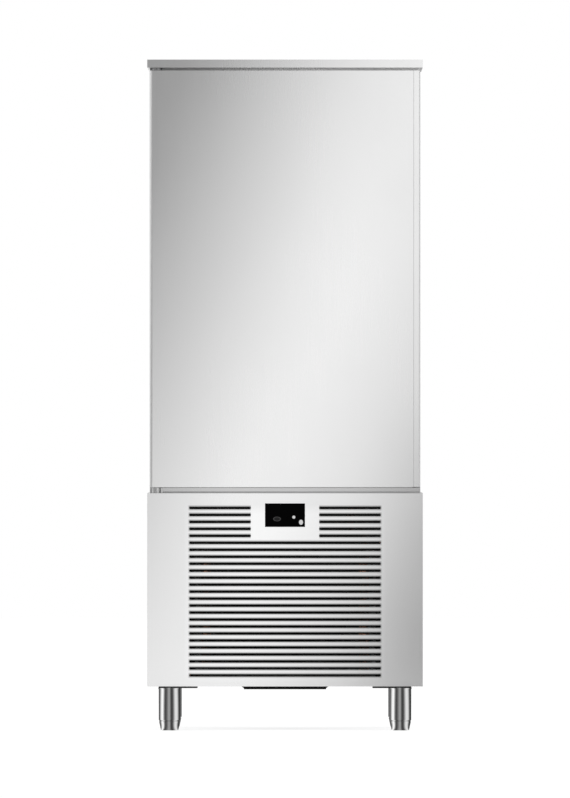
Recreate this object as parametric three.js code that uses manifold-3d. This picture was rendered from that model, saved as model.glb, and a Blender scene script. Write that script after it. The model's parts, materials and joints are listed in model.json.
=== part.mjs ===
// Upright blast chiller: a foamed cabinet with one full-height door, standing on a louvred machine
// compartment and four levelling feet. Millimetres, +Z up. The front faces -Y, and the origin lies on
// the floor under the middle of the machine.
import * as THREE from "three";
import { mergeVertices } from "three/addons/utils/BufferGeometryUtils.js";
import Module from "manifold-3d";

const wasm = await Module();
wasm.setup();

// Overall sizes
const width = 790; // over the machine compartment and the top cover
const depth = 800;
const shoulder = 7; // cabinet and door stand this far in from the width, each side
const compartmentHeight = 554;
const sillGap = 18; // from the compartment's top to the door's bottom
const doorHeight = 1194;
const headGap = 8; // from the door's top to the cover's lip
const coverLip = 23;
const gap = 0.3; // between pieces that touch
const lap = 1; // how far joined shapes run into each other, and cutters past a face

// Sheets
const sheet = 1.5; // outer panels
const skin = 1.2; // cabinet shell and door
const linerSheet = 1;

// Legs and feet
const noseHeight = 28;
const noseRadius = 25; // on the floor
const sleeveRadius = 31.5;
const sleeveLength = 94;
const stemRadius = 8;
const stemLength = 82;
const legPlate = 5;
const legPlateSide = 110;
const legInset = 64; // leg axis in from the outside, both ways
const legPlateInset = 34; // plate edge in from the outside, both ways
const legChamfer = 1.5;
const noseCollar = 4; // straight top of the nose

// Walls of the cabinet
const sideWall = 60;
const floorWall = 60;
const roofWall = 83; // from the chamber's ceiling to the very top
const backWall = 63;
const chamberCorner = 12;

// Door
const doorSetBack = 8; // door face behind the compartment's face
const doorThickness = 62;
const doorCorner = 8; // rounding of the door's long front edges
const sealDepth = 12;
const sealWidth = 28;
const sealOverlap = 8; // from the chamber's mouth to the seal
const sealBase = 3; // thickness of the strip on the door
const sealLip = 4.5; // thickness of the magnet lip
const sealLipInset = 2;
const bellowsInset = 9;
const fieldInset = 12; // raised field of the door liner, in from the chamber's mouth
const fieldHeight = 8;
const handleWidth = 19;
const handleLip = 4;
const handleWeb = 4;
const gripDepth = 34; // finger groove, front to back

// Hinges
const hingeInset = 21; // pivot in from the door's edge
const hingeSetBack = 22; // pivot behind the door's face
const pinRadius = 8;
const pinLength = 26;
const bushWall = 3;
const bushFlange = 14; // radius
const bracketHalf = 14.5;
const bracketThickness = 5; // top bracket, and the legs of both
const bracketLeg = 62;
const bracketLegWidth = 18;
const bracketInset = 1; // leg in from the cabinet's side
const sillClearance = 2; // between the sill and the door
const headClearance = 1.5; // between the door and the top bracket

// Sill under the door
const sillSetBack = 15; // behind the compartment's face
const sillShadow = 3.5; // open line under the sill
const sillFoot = 22;

// Tray rack
const ledgeWidth = 50; // 42 mm of it under a 600 mm wide tray
const ledgeToWall = 21;
const ledgeLip = 16;
const ledgeSheet = 2;
const levelPitch = 65;
const firstLevel = 69; // above the chamber's floor
const topSpace = 100; // above the highest tray
const rackFoot = 19; // above the chamber's floor
const rackSetBack = 38; // behind the cabinet's face
const rackClearance = 25; // from the rack to the fan guards
const uprightDepth = 18;
const uprightInset = 30;

// Evaporator and fan panel
const coilDepth = 72;
const coilToBack = 7;
const coilHalf = 250;
const coilFoot = 29; // above the chamber's floor
const fanSpace = 78; // from the coil to the fan panel's face
const panelMargin = 27; // above the floor and under the ceiling
const panelHalf = 244;
const panelReturnDepth = 30;
const panelPivotInset = 6;
const panelPinRadius = 4;
const lugThickness = 5;
const lugRadius = 11;
const panelPinProud = 3;
const fanCount = 2;
const fanHole = 170;
const collarDepth = 14;
const bladeGap = 6; // between the blades and their ring
const fanHub = 45;
const fanDepth = 24;
const blades = 5;
const bladeHalfAngle = 0.34;
const bladeSweep = 0.3;
const bladeThickness = 2.5;
const fanSetBack = 7; // wheel behind the panel's face
const guardProud = 11.5;
const guardWire = 3;
const guardRing = 85; // radius of the inner ring
const motorRadius = 45;
const motorLength = 30;
const armWidth = 12;
const armThickness = 2.5;
const shaftRadius = 5;
const motorBehind = 3; // motor behind its wheel

// Louvred front panel
const panelReturn = 25;
const louvreLength = 550;
const louvrePitch = 20;
const louvreTopMargin = 42;
const louvreBottomMargin = 30;
const louvreHeight = 8;
const louvreBend = 1;
const louvreTilt = Math.PI / 3;
const louvreFin = 6;
const controlBlank = 195; // plain field round the controller
const controlBlankBelow = 30;

// Controller
const glassWidth = 114;
const glassHeight = 67;
const glassDrop = 29.5; // below the panel's top edge
const glassThickness = 4;
const housingDepth = 30;
const housingBorder = 8;

// Machine compartment
const flange = 20;
const panFlange = 25;
const grilleSetBack = 25;
const grilleSlot = 6;
const grillePitch = 32;
const grilleColumns = 2;
const grilleBar = 40;
const condenserHalf = 260;
const condenserHeight = 420;
const condenserLift = 12; // above the base
const condenserDepth = 60;
const condenserSetBack = 48; // behind the compartment's face
const finPitch = 28;
const finThickness = 1.5;
const tubeBand = 22;
const tubeRadius = 6;
const bendRadius = 20;
const coilBends = 4;
const condenserBends = 3;
const shroudDepth = 30;
const shroudCollar = 22;
const shroudHole = 185;
const condenserFanDepth = 30;
const condenserFanSetBack = 4; // wheel behind the shroud's sheet
const condenserHub = 55;
const condenserMotorRadius = 50;
const condenserMotorLength = 70;
const condenserMotorBehind = 5;
const condenserFoot = 14;
const compressorX = 251;
const compressorToBack = 200;
const compressorRadius = 95;
const compressorHeight = 250;
const compressorRound = 40; // height of the rounding at the pot's foot
const compressorPlate = 12; // foot plate, out from the pot
const compressorPlateThickness = 4;
const compressorMountInset = 5;
const compressorMountRadius = 11;
const seamHalf = 5; // half the height of the weld seam
const terminalProud = 18;
const terminalHalf = 32;
const terminalHeight = 70;
const mountHeight = 12;
const receiverX = -60;
const receiverToBack = 140;
const receiverRadius = 45;
const receiverHeight = 220;
const receiverDome = 22;
const receiverEnd = 10; // from the dome to the end of the connection
const drierRadius = 18;
const drierLength = 100;
const boxDepth = 143; // electrical box, out from the side panel
const boxLength = 180;
const boxHeight = 220;
const boxLift = 270;
const boxLid = 4;
const glandX = -330;
const glandZ = 190;
const glandRadius = 14;
const glandThroat = 8.4; // radius
const glandTail = 10;
const glandNut = 7;
const glandNose = 18;

// Pipes
const suctionRadius = 9;
const liquidRadius = 5;
const dischargeRadius = 6;
const riserSetIn = 45; // pipe risers in from the back
const suctionX = 190;
const suctionZ = 800;
const liquidZ = 845;
const stubLength = 15;
const pipeBend = 18;

// Drain
const drainRadius = 16;
const drainFlange = 28;
const drainWall = 2;
const panHalf = 129.5;
const panBottomHalf = 120;
const panDrop = 8; // shows under the base
const panDepth = 26;
const panRim = 11;

// Places that follow from the sizes
const half = width / 2;
const frontY = -depth / 2;
const backY = depth / 2;
const baseZ = noseHeight + sleeveLength + legPlate;
const deckZ = baseZ + compartmentHeight;
const doorZ = deckZ + sillGap;
const doorTop = doorZ + doorHeight;
const coverZ = doorTop + headGap;
const top = coverZ + coverLip;
const bodyHalf = half - shoulder;
const doorY = frontY + doorSetBack;
const doorBack = doorY + doorThickness;
const cabinetY = doorBack + sealDepth;
const shellZ = deckZ + gap;
const shellTop = top - sheet - gap;
const chamberHalf = bodyHalf - sideWall;
const chamberZ = deckZ + floorWall;
const chamberTop = top - roofWall;
const chamberBack = backY - backWall;
const pivotX = -bodyHalf + hingeInset;
const pivotY = doorY + hingeSetBack;
const sillTop = doorZ - sillClearance;
const handleX = bodyHalf - handleWidth;
const coilBack = chamberBack - coilToBack;
const coilFront = coilBack - coilDepth;
const fanPanelY = coilFront - fanSpace;
const fanPanelZ = chamberZ + panelMargin;
const fanPanelTop = chamberTop - panelMargin;
const panelPivotX = -panelHalf + panelPivotInset;
const panelPivotY = fanPanelY + panelPivotInset;
const rackY = cabinetY + rackSetBack;
const rackBack = fanPanelY - guardProud - rackClearance;
const riserY = backY - riserSetIn;
const compressorY = backY - compressorToBack;
const receiverY = backY - receiverToBack;
const bodyBottomY = frontY + panelReturn + gap; // where the compartment starts behind its front panel
const baseTop = baseZ + sheet;
const condenserY = frontY + condenserSetBack + condenserDepth / 2;
const condenserZ = baseTop + condenserLift;
const condenserMiddle = condenserZ + condenserHeight / 2;
const shroudY = condenserY + condenserDepth / 2 + gap;
const receiverTop = baseTop + gap + receiverHeight;
const drierZ = receiverTop + 3 * pipeBend;
const compressorStubShare = 0.75; // height of the compressor's pipe stubs, as a share of its own
const receiverInletShare = 0.3;

function solid(geometry) {
  const bare = geometry.clone();
  bare.deleteAttribute("normal");
  bare.deleteAttribute("uv");
  const merged = mergeVertices(bare, 1e-4);
  return new wasm.Manifold(
    new wasm.Mesh({
      numProp: 3,
      vertProperties: merged.attributes.position.array,
      triVerts: new Uint32Array(merged.index.array),
    }),
  );
}

const asSolid = (shape) => (shape.isBufferGeometry ? solid(shape) : shape);
const join = (...shapes) => shapes.map(asSolid).reduce((whole, next) => whole.add(next));
const cut = (shape, ...tools) =>
  tools.map(asSolid).reduce((whole, tool) => whole.subtract(tool), asSolid(shape));

// A block between pairs of limits, in any order.
function block(x, y, z) {
  const size = [x, y, z].map(([a, b]) => Math.abs(b - a));
  const middle = [x, y, z].map(([a, b]) => (a + b) / 2);
  return new THREE.BoxGeometry(...size).translate(...middle);
}

// A round bar between two points.
function rod(radius, from, to, sides = 12) {
  const start = new THREE.Vector3(...from);
  const run = new THREE.Vector3(...to).sub(start);
  const turn = new THREE.Quaternion().setFromUnitVectors(
    new THREE.Vector3(0, 1, 0),
    run.clone().normalize(),
  );
  return new THREE.CylinderGeometry(radius, radius, run.length(), sides)
    .applyQuaternion(turn)
    .translate(...start.addScaledVector(run, 0.5).toArray());
}

function rectangle([x0, x1], [y0, y1], radius = 0) {
  const shape = new THREE.Shape();
  if (!radius) {
    shape.moveTo(x0, y0).lineTo(x1, y0).lineTo(x1, y1).lineTo(x0, y1);
    return shape;
  }
  const r = radius;
  shape.absarc(x1 - r, y0 + r, r, -Math.PI / 2, 0);
  shape.absarc(x1 - r, y1 - r, r, 0, Math.PI / 2);
  shape.absarc(x0 + r, y1 - r, r, Math.PI / 2, Math.PI);
  shape.absarc(x0 + r, y0 + r, r, Math.PI, Math.PI * 1.5);
  return shape;
}

function outline(points) {
  return new THREE.Shape(points.map(([x, y]) => new THREE.Vector2(x, y)));
}

// Extrusions of an (x, y) outline up Z, an (x, z) outline along Y, and a (y, z) outline along X.
function alongZ(shape, [z0, z1], curveSegments = 4) {
  const options = { depth: z1 - z0, bevelEnabled: false, curveSegments };
  return new THREE.ExtrudeGeometry(shape, options).translate(0, 0, z0);
}

function alongY(shape, [y0, y1], curveSegments = 2) {
  const options = { depth: y1 - y0, bevelEnabled: false, curveSegments };
  return new THREE.ExtrudeGeometry(shape, options).rotateX(Math.PI / 2).translate(0, y1, 0);
}

function alongX(shape, [x0, x1], curveSegments = 2) {
  const options = { depth: x1 - x0, bevelEnabled: false, curveSegments };
  const turn = new THREE.Matrix4().makeBasis(
    new THREE.Vector3(0, 1, 0),
    new THREE.Vector3(0, 0, 1),
    new THREE.Vector3(1, 0, 0),
  );
  return new THREE.ExtrudeGeometry(shape, options).applyMatrix4(turn).translate(x0, 0, 0);
}

function disc(radius, hole = 0) {
  const shape = new THREE.Shape().absarc(0, 0, radius, 0, Math.PI * 2);
  if (hole) shape.holes.push(new THREE.Path().absarc(0, 0, hole, 0, Math.PI * 2));
  return shape;
}

// A turned piece about the Z axis, from (radius, height) points that run up its outside.
function turned(points, sides = 16) {
  const profile = points.map(([r, z]) => new THREE.Vector2(r, z));
  return new THREE.LatheGeometry(profile, sides).rotateX(Math.PI / 2);
}

// A solid through rings of points, each ring with as many points as the last. The two halves of a
// ring are creased the same way, so that the walls of a thin twisted blade keep their distance.
function loft(rings) {
  const count = rings[0].length;
  const last = (rings.length - 1) * count;
  const faces = [];
  for (let i = 0; i < rings.length - 1; i++)
    for (let j = 0; j < count; j++) {
      const [a, b] = [i * count + j, i * count + ((j + 1) % count)];
      if (j < count / 2) faces.push(a, b, b + count, a, b + count, a + count);
      else faces.push(a, b, a + count, b, b + count, a + count);
    }
  for (let j = 1; j < count - 1; j++) {
    faces.push(0, j + 1, j);
    faces.push(last, last + j, last + j + 1);
  }
  const geometry = new THREE.BufferGeometry();
  geometry.setAttribute("position", new THREE.Float32BufferAttribute(rings.flat(2), 3));
  geometry.setIndex(faces);
  return geometry;
}

// A frame of rectangular section round an opening, seen along Y.
function mouthFrame(innerOffset, outerOffset, y) {
  const limits = (offset) => [
    [-chamberHalf - offset, chamberHalf + offset],
    [chamberZ - offset, chamberTop + offset],
  ];
  const [ox, oz] = limits(outerOffset);
  const [ix, iz] = limits(innerOffset);
  return cut(block(ox, y, oz), block(ix, [y[0] - lap, y[1] + lap], iz));
}

// The path of a pipe: straight runs with rounded corners, stepped only where it bends.
class PipeRun extends THREE.Curve {
  constructor(corners, radius, steps = 3) {
    super();
    const points = corners.map((p) => new THREE.Vector3(...p));
    this.stations = [points[0]];
    for (let i = 1; i < points.length - 1; i++) {
      const inward = points[i - 1].clone().sub(points[i]).normalize();
      const outward = points[i + 1].clone().sub(points[i]).normalize();
      const start = points[i].clone().addScaledVector(inward, radius);
      const end = points[i].clone().addScaledVector(outward, radius);
      const corner = new THREE.QuadraticBezierCurve3(start, points[i], end);
      this.stations.push(...corner.getPoints(steps));
    }
    this.stations.push(points.at(-1));
  }

  getPoint(t) {
    const at = t * (this.stations.length - 1);
    const i = Math.min(Math.floor(at + 1e-9), this.stations.length - 2);
    return this.stations[i].clone().lerp(this.stations[i + 1], at - i);
  }

  getPointAt(u) {
    return this.getPoint(u);
  }

  // Each station takes the mean of the directions before and after it.
  getTangentAt(u) {
    const i = Math.round(u * (this.stations.length - 1));
    const before = this.stations[Math.max(i - 1, 0)];
    const here = this.stations[i];
    const after = this.stations[Math.min(i + 1, this.stations.length - 1)];
    const arriving = here.clone().sub(before).normalize();
    return arriving.add(after.clone().sub(here).normalize()).normalize();
  }
}

function pipe(corners, radius, bend = pipeBend, sides = 8) {
  const extrudePath = new PipeRun(corners, bend);
  const section = new THREE.Shape();
  for (let i = 0; i < sides; i++) {
    const angle = (i * 2 * Math.PI) / sides;
    section[i ? "lineTo" : "moveTo"](radius * Math.cos(angle), radius * Math.sin(angle));
  }
  return new THREE.ExtrudeGeometry(section, { extrudePath, steps: extrudePath.stations.length - 1 });
}

// Where the two pipes that rise to the coil run, from the coil down.
function suctionRun() {
  const low = baseTop + gap + mountHeight + compressorHeight * compressorStubShare;
  return [
    [suctionX, coilBack + coilToBack / 2 + gap, suctionZ],
    [suctionX, riserY, suctionZ],
    [suctionX, riserY, low],
    [suctionX, compressorY + compressorRadius + stubLength + gap, low],
  ];
}

function liquidRun() {
  const bendZ = drierZ + drierLength + 3 * pipeBend;
  return [
    [receiverX, coilBack + coilToBack / 2 + gap, liquidZ],
    [receiverX, riserY, liquidZ],
    [receiverX, riserY, bendZ],
    [receiverX, receiverY, bendZ],
    [receiverX, receiverY, receiverTop + gap],
  ];
}

// What the pipes and the drain take out of the sheets and the foam that they pass through.
function passages() {
  return [
    pipe(suctionRun(), suctionRadius + 1.2 * gap),
    pipe(liquidRun(), liquidRadius + 1.2 * gap, pipeBend, 6),
    rod(drainRadius + 2 * gap, [0, 0, deckZ - panFlange], [0, 0, chamberZ + lap], 16),
  ];
}

// Cabinet

function outerShell() {
  const inside = bodyHalf - skin;
  return cut(
    block([-bodyHalf, bodyHalf], [cabinetY, backY], [shellZ, shellTop]),
    block([-inside, inside], [cabinetY + skin, backY + lap], [shellZ + skin, shellTop - skin]),
    alongY(chamberRound(0), [cabinetY - lap, cabinetY + skin + lap]),
    ...passages(),
  );
}

function backPanel() {
  const inside = bodyHalf - skin - gap;
  const z = [shellZ + skin + gap, shellTop - skin - gap];
  return block([-inside, inside], [backY - skin, backY], z);
}

function chamberRound(offset) {
  const x = [-chamberHalf - offset, chamberHalf + offset];
  return rectangle(x, [chamberZ - offset, chamberTop + offset], chamberCorner + offset);
}

function innerLiner() {
  return cut(
    alongY(chamberRound(linerSheet), [cabinetY + skin + gap, chamberBack + linerSheet]),
    alongY(chamberRound(0), [cabinetY, chamberBack]),
    ...passages(),
  );
}

function insulation() {
  const inside = bodyHalf - skin - gap;
  const z = [shellZ + skin + gap, shellTop - skin - gap];
  const hollow = linerSheet + gap;
  return cut(
    block([-inside, inside], [cabinetY + skin + gap, backY - skin - gap], z),
    alongY(chamberRound(hollow), [cabinetY, chamberBack + hollow]),
    ...passages(),
  );
}

function topCover() {
  const inside = half - sheet;
  const hem = coverZ + sheet;
  const side = bodyHalf + gap;
  return join(
    cut(
      block([-half, half], [frontY, backY], [coverZ, top]),
      block([-inside, inside], [frontY + sheet, backY + lap], [coverZ - lap, top - sheet]),
    ),
    block([-half, -side], [frontY, backY], [coverZ, hem]),
    block([side, half], [frontY, backY], [coverZ, hem]),
    block([-half, half], [frontY, frontY + sillSetBack], [coverZ, hem]),
  );
}

// A folded rail: front web, top, back web against the cabinet, and a foot on the deck.
function doorSill() {
  const [y0, y1] = [frontY + sillSetBack, cabinetY - gap];
  const foot = shellZ + sheet;
  const profile = outline([
    [y0, shellZ + sillShadow],
    [y0 + sheet, shellZ + sillShadow],
    [y0 + sheet, sillTop - sheet],
    [y1 - sheet, sillTop - sheet],
    [y1 - sheet, foot],
    [y1 - sillFoot, foot],
    [y1 - sillFoot, shellZ],
    [y1, shellZ],
    [y1, sillTop],
    [y0, sillTop],
  ]);
  return alongX(profile, [pivotX + bracketHalf + sillClearance, bodyHalf]);
}

// A hinge bracket: a round-nosed plate under or over the door, a leg on the cabinet, and the pin.
function hingeBracket(plateZ, legEnd, pinEnd) {
  const back = cabinetY - gap;
  const nose = new THREE.Shape();
  nose.absarc(pivotX, pivotY, bracketHalf, Math.PI, Math.PI * 2);
  nose.lineTo(pivotX + bracketHalf, back).lineTo(pivotX - bracketHalf, back);
  const legX = [-bodyHalf + bracketInset, -bodyHalf + bracketInset + bracketLegWidth];
  return join(
    alongZ(nose, plateZ, 5),
    block(legX, [back - bracketThickness, back], [legEnd, plateZ[0]]),
    block(legX, [back - bracketThickness, back], plateZ),
    rod(pinRadius, [pivotX, pivotY, plateZ[0] + lap], [pivotX, pivotY, pinEnd]),
  );
}

// Door

function doorSkin() {
  const back = doorBack - linerSheet - gap;
  const pan = (inset, z) => {
    const [x0, x1, y0] = [-bodyHalf + inset, handleX - inset, doorY + inset];
    const shape = new THREE.Shape().moveTo(x1, inset ? back + lap : back);
    shape.lineTo(x0, inset ? back + lap : back);
    shape.absarc(-bodyHalf + doorCorner, doorY + doorCorner, doorCorner - inset, Math.PI, Math.PI * 1.5);
    shape.lineTo(x1, y0);
    return alongZ(shape, z, 3);
  };
  return cut(
    pan(0, [doorZ, doorTop]),
    pan(skin, [doorZ + skin, doorTop - skin]),
    bushHole([doorZ - lap, doorZ + skin + lap]),
    bushHole([doorTop - skin - lap, doorTop + lap]),
  );
}

const bushHole = (z) =>
  rod(pinRadius + bushWall + gap, [pivotX, pivotY, z[0]], [pivotX, pivotY, z[1]]);

// The raised field inside the seal, tapering towards the chamber; its back half is open to the foam.
function doorField(shrink) {
  const edge = fieldInset + shrink;
  const x = chamberHalf - edge;
  const z = [chamberZ + edge, chamberTop - edge];
  const lift = fieldHeight - shrink;
  const ring = (inset, y) => [
    [-x + inset, y, z[0] + inset],
    [-x + inset, y, z[1] - inset],
    [x - inset, y, z[1] - inset],
    [x - inset, y, z[0] + inset],
  ];
  return loft([ring(0, doorBack - linerSheet - lap), ring(0, doorBack), ring(lift, doorBack + lift)]);
}

function doorLiner() {
  const sheetAt = (y) => block([-bodyHalf, bodyHalf], y, [doorZ, doorTop]);
  const front = doorBack - linerSheet;
  return cut(
    join(sheetAt([front, doorBack]), doorField(0)),
    doorField(linerSheet),
    sheetAt([front - 2 * lap, front]),
  );
}

function doorFoam() {
  const back = doorBack - linerSheet - gap;
  const inset = skin + gap;
  const front = doorCorner - inset;
  const [x0, x1, y0] = [-bodyHalf + inset, handleX - inset, doorY + inset];
  const shape = new THREE.Shape().moveTo(x1, back).lineTo(x0, back);
  shape.absarc(x0 + front, y0 + front, front, Math.PI, Math.PI * 1.5).lineTo(x1, y0);
  const pocket = pinLength + 2 * bushWall;
  return cut(
    join(alongZ(shape, [doorZ + inset, doorTop - inset], 3), doorField(linerSheet + gap)),
    bushHole([doorZ, doorZ + pocket]),
    bushHole([doorTop - pocket, doorTop]),
  );
}

// Base strip, narrow bellows and magnet lip of the seal, all round the mouth.
function doorGasket() {
  const [inner, outer] = [sealOverlap, sealOverlap + sealWidth];
  const [y0, y1] = [doorBack + gap, cabinetY - gap];
  const [base, lip] = [y0 + sealBase, y1 - sealLip];
  return join(
    mouthFrame(inner, outer, [y0, base]),
    mouthFrame(inner + bellowsInset, outer - bellowsInset, [base - lap, lip + lap]),
    mouthFrame(inner + sealLipInset, outer - sealLipInset, [lip, y1]),
  );
}

// A full-height grip: an extruded channel, open to the side, with a rounded front edge.
function doorHandle() {
  const [x0, x1] = [handleX + gap, bodyHalf];
  const back = doorBack - linerSheet - gap;
  const shape = new THREE.Shape().moveTo(x0, back).lineTo(x0, doorY);
  shape.absarc(x1 - handleLip, doorY + handleLip, handleLip, -Math.PI / 2, 0);
  shape.lineTo(x1, back);
  const grip = [doorY + handleLip + gap, doorY + handleLip + gripDepth];
  const groove = rectangle([x0 + handleWeb, x1 + 2 * handleWidth], grip, handleWeb);
  return cut(alongZ(shape, [doorZ, doorTop], 2), alongZ(groove, [doorZ - lap, doorTop + lap], 2));
}

// A bush for the pin: its flange lies between the bracket and the door, and its tube in the door.
function hingeBush(flangeZ, farZ) {
  const at = (z) => [pivotX, pivotY, z];
  const ends = [Math.min(flangeZ[0], farZ) - lap, Math.max(flangeZ[0], farZ) + lap];
  return cut(
    join(
      rod(pinRadius + bushWall, at(flangeZ[0]), at(farZ)),
      rod(bushFlange, at(flangeZ[0]), at(flangeZ[1])),
    ),
    rod(pinRadius + gap, at(ends[0]), at(ends[1])),
  );
}

// Chamber

function trayLevels() {
  const usable = chamberTop - topSpace - (chamberZ + firstLevel);
  const count = Math.floor(usable / levelPitch) + 1;
  return Array.from({ length: count }, (_, i) => chamberZ + firstLevel + i * levelPitch);
}

// One side of the tray rack: angle ledges between two uprights on the chamber's wall.
function rack(side) {
  const outer = chamberHalf - ledgeToWall;
  const inner = outer - ledgeWidth;
  const uprights = [rackY + uprightInset, rackBack - uprightInset - uprightDepth].map((y) =>
    block(
      [side * outer, side * (chamberHalf - gap)],
      [y, y + uprightDepth],
      [chamberZ + rackFoot, chamberTop - rackFoot],
    ),
  );
  const ledges = trayLevels().map((z) =>
    alongY(
      outline([
        [side * inner, z - ledgeSheet],
        [side * outer, z - ledgeSheet],
        [side * outer, z + ledgeLip],
        [side * (outer - ledgeSheet), z + ledgeLip],
        [side * (outer - ledgeSheet), z],
        [side * inner, z],
      ]),
      [rackY, rackBack],
    ),
  );
  return join(...uprights, ...ledges);
}

function fanHeights() {
  const pitch = (fanPanelTop - fanPanelZ) / fanCount;
  return Array.from({ length: fanCount }, (_, i) => fanPanelZ + pitch * (i + 0.5));
}

// A hinged sheet-metal pan with a collared hole for each fan, and a pivot pin at each end.
function fanPanel() {
  const inside = panelHalf - sheet;
  const back = fanPanelY + panelReturnDepth;
  const pan = cut(
    block([-panelHalf, panelHalf], [fanPanelY, back], [fanPanelZ, fanPanelTop]),
    block([-inside, inside], [fanPanelY + sheet, back + lap], [fanPanelZ + sheet, fanPanelTop - sheet]),
  );
  const at = (shape, z) => shape.translate(0, 0, z);
  const sides = 11;
  const collars = fanHeights().map((z) =>
    at(alongY(disc(fanHole + sheet), [fanPanelY + sheet / 2, fanPanelY + collarDepth], sides), z),
  );
  const holes = fanHeights().map((z) => at(alongY(disc(fanHole), [fanPanelY - lap, back], sides), z));
  const pin = (z0, z1) =>
    rod(panelPinRadius, [panelPivotX, panelPivotY, z0], [panelPivotX, panelPivotY, z1], 12);
  const reach = lugThickness + panelPinProud;
  return join(
    cut(join(pan, ...collars), ...holes),
    pin(fanPanelZ - reach, fanPanelZ + sheet / 2),
    pin(fanPanelTop - sheet / 2, fanPanelTop + reach),
  );
}

// A flat wire guard in front of a fan hole, about the Y axis; its feet reach back to the panel.
function fanGuard() {
  const wire = [-guardProud, -guardProud + guardWire];
  const reach = fanHole + 2 * guardWire;
  const rings = [guardRing, fanHole + guardWire].map((radius) =>
    alongY(disc(radius, radius - guardWire), wire, 6),
  );
  const spokes = [Math.PI / 4, -Math.PI / 4].map((turn) =>
    block([-reach, reach], wire, [-guardWire, guardWire]).rotateY(turn),
  );
  const feet = [1, 3, 5, 7].map((eighth) =>
    block([reach - 2 * guardWire, reach], [-guardProud, -gap], [-guardWire, guardWire]).rotateY(
      (eighth * Math.PI) / 4,
    ),
  );
  return join(...rings, ...spokes, ...feet);
}

// A helical blade from the hub to the tip, about the Y axis, as wide an angle at each radius.
function fanBlade(hub, tip, axial) {
  const rise = axial / 2 - bladeThickness;
  const ring = (radius, sweep) =>
    [[-1, 1], [1, 1], [1, -1], [-1, -1]].map(([along, across]) => {
      const angle = along * bladeHalfAngle + sweep;
      const y = along * rise + (across * bladeThickness) / 2;
      return [radius * Math.cos(angle), y, radius * Math.sin(angle)];
    });
  const root = hub - bladeThickness;
  return loft([ring(root, 0), ring((root + tip) / 2, bladeSweep / 2), ring(tip, bladeSweep)]);
}

function fanWheel(hub, tip, axial, count) {
  const wheel = Array.from({ length: count }, (_, i) =>
    fanBlade(hub, tip, axial).rotateY((i * 2 * Math.PI) / count),
  );
  const boss = rod(hub, [0, -axial / 2, 0], [0, axial / 2, 0], 3 * count).rotateY(Math.PI / 30);
  return cut(join(boss, ...wheel), rod(shaftRadius + gap, [0, -axial / 4, 0], [0, axial, 0], 12));
}

// A motor behind a fan: its shaft reaches forward into the hub and its arms to the sheet in front.
function fanMotor(radius, length, shaft, reach, forward) {
  const arms = [90, 210, 330].map((turn) =>
    join(
      block([radius / 2, reach], [0, armThickness], [-armWidth / 2, armWidth / 2]),
      block([reach - armThickness, reach], [-forward, armThickness], [-armWidth / 2, armWidth / 2]),
    ).rotate([0, turn, 0]),
  );
  return join(
    rod(radius, [0, 0, 0], [0, length, 0], 16),
    rod(shaftRadius, [0, -shaft, 0], [0, 1, 0], 12),
    ...arms,
  );
}

// A finned coil from above: fins on both faces of a band of tubes, centred on the origin.
function finnedOutline(halfLength, coilThickness) {
  const count = Math.floor((2 * halfLength - finPitch) / finPitch);
  const start = -(count * finPitch + finThickness) / 2;
  const face = [[-halfLength, tubeBand / 2], [start, tubeBand / 2]];
  for (let i = 0; i <= count; i++) {
    const x = start + i * finPitch;
    face.push([x, coilThickness / 2], [x + finThickness, coilThickness / 2]);
    face.push([x + finThickness, tubeBand / 2]);
    if (i < count) face.push([x + finPitch, tubeBand / 2]);
  }
  face.push([halfLength, tubeBand / 2]);
  const front = face.map(([x, y]) => [x, -y]);
  return outline([...front, ...face.reverse()]);
}

// Return bends at the end of a coil, each joining two tubes.
function returnBends(x, side, z0, count, spacing) {
  return Array.from({ length: count }, (_, i) => {
    const low = z0 + i * spacing;
    return pipe(
      [
        [x - side, 0, low],
        [x + side * bendRadius, 0, low],
        [x + side * bendRadius, 0, low + 2 * bendRadius],
        [x - side, 0, low + 2 * bendRadius],
      ],
      tubeRadius,
      bendRadius * 0.95,
      6,
    );
  });
}

function evaporator() {
  const z = [chamberZ + coilFoot, chamberTop - coilFoot];
  const y = (coilFront + coilBack) / 2;
  const end = coilHalf - gap;
  const spacing = (z[1] - z[0] - 6 * bendRadius) / (coilBends - 1);
  const finEnd = end - 2 * bendRadius;
  const plate = (x) => block([x, x + sheet], [-coilDepth / 2, coilDepth / 2], z);
  const rail = (x) => block([x[0], x[1]], [coilDepth / 2 - 2 * sheet, coilDepth / 2], z);
  const coil = join(
    alongZ(finnedOutline(finEnd, coilDepth), z),
    plate(-finEnd - sheet / 2),
    plate(finEnd - sheet / 2),
    rail([-end, -finEnd + lap]),
    rail([finEnd - lap, end]),
    ...returnBends(finEnd, 1, z[0] + 2 * bendRadius, coilBends, spacing),
  ).translate([0, y, 0]);
  const stub = (x, radius, height) =>
    rod(radius, [x, y, height], [x, coilBack + coilToBack / 2, height], 8);
  return join(coil, stub(suctionX, suctionRadius, suctionZ), stub(receiverX, liquidRadius, liquidZ));
}

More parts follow.
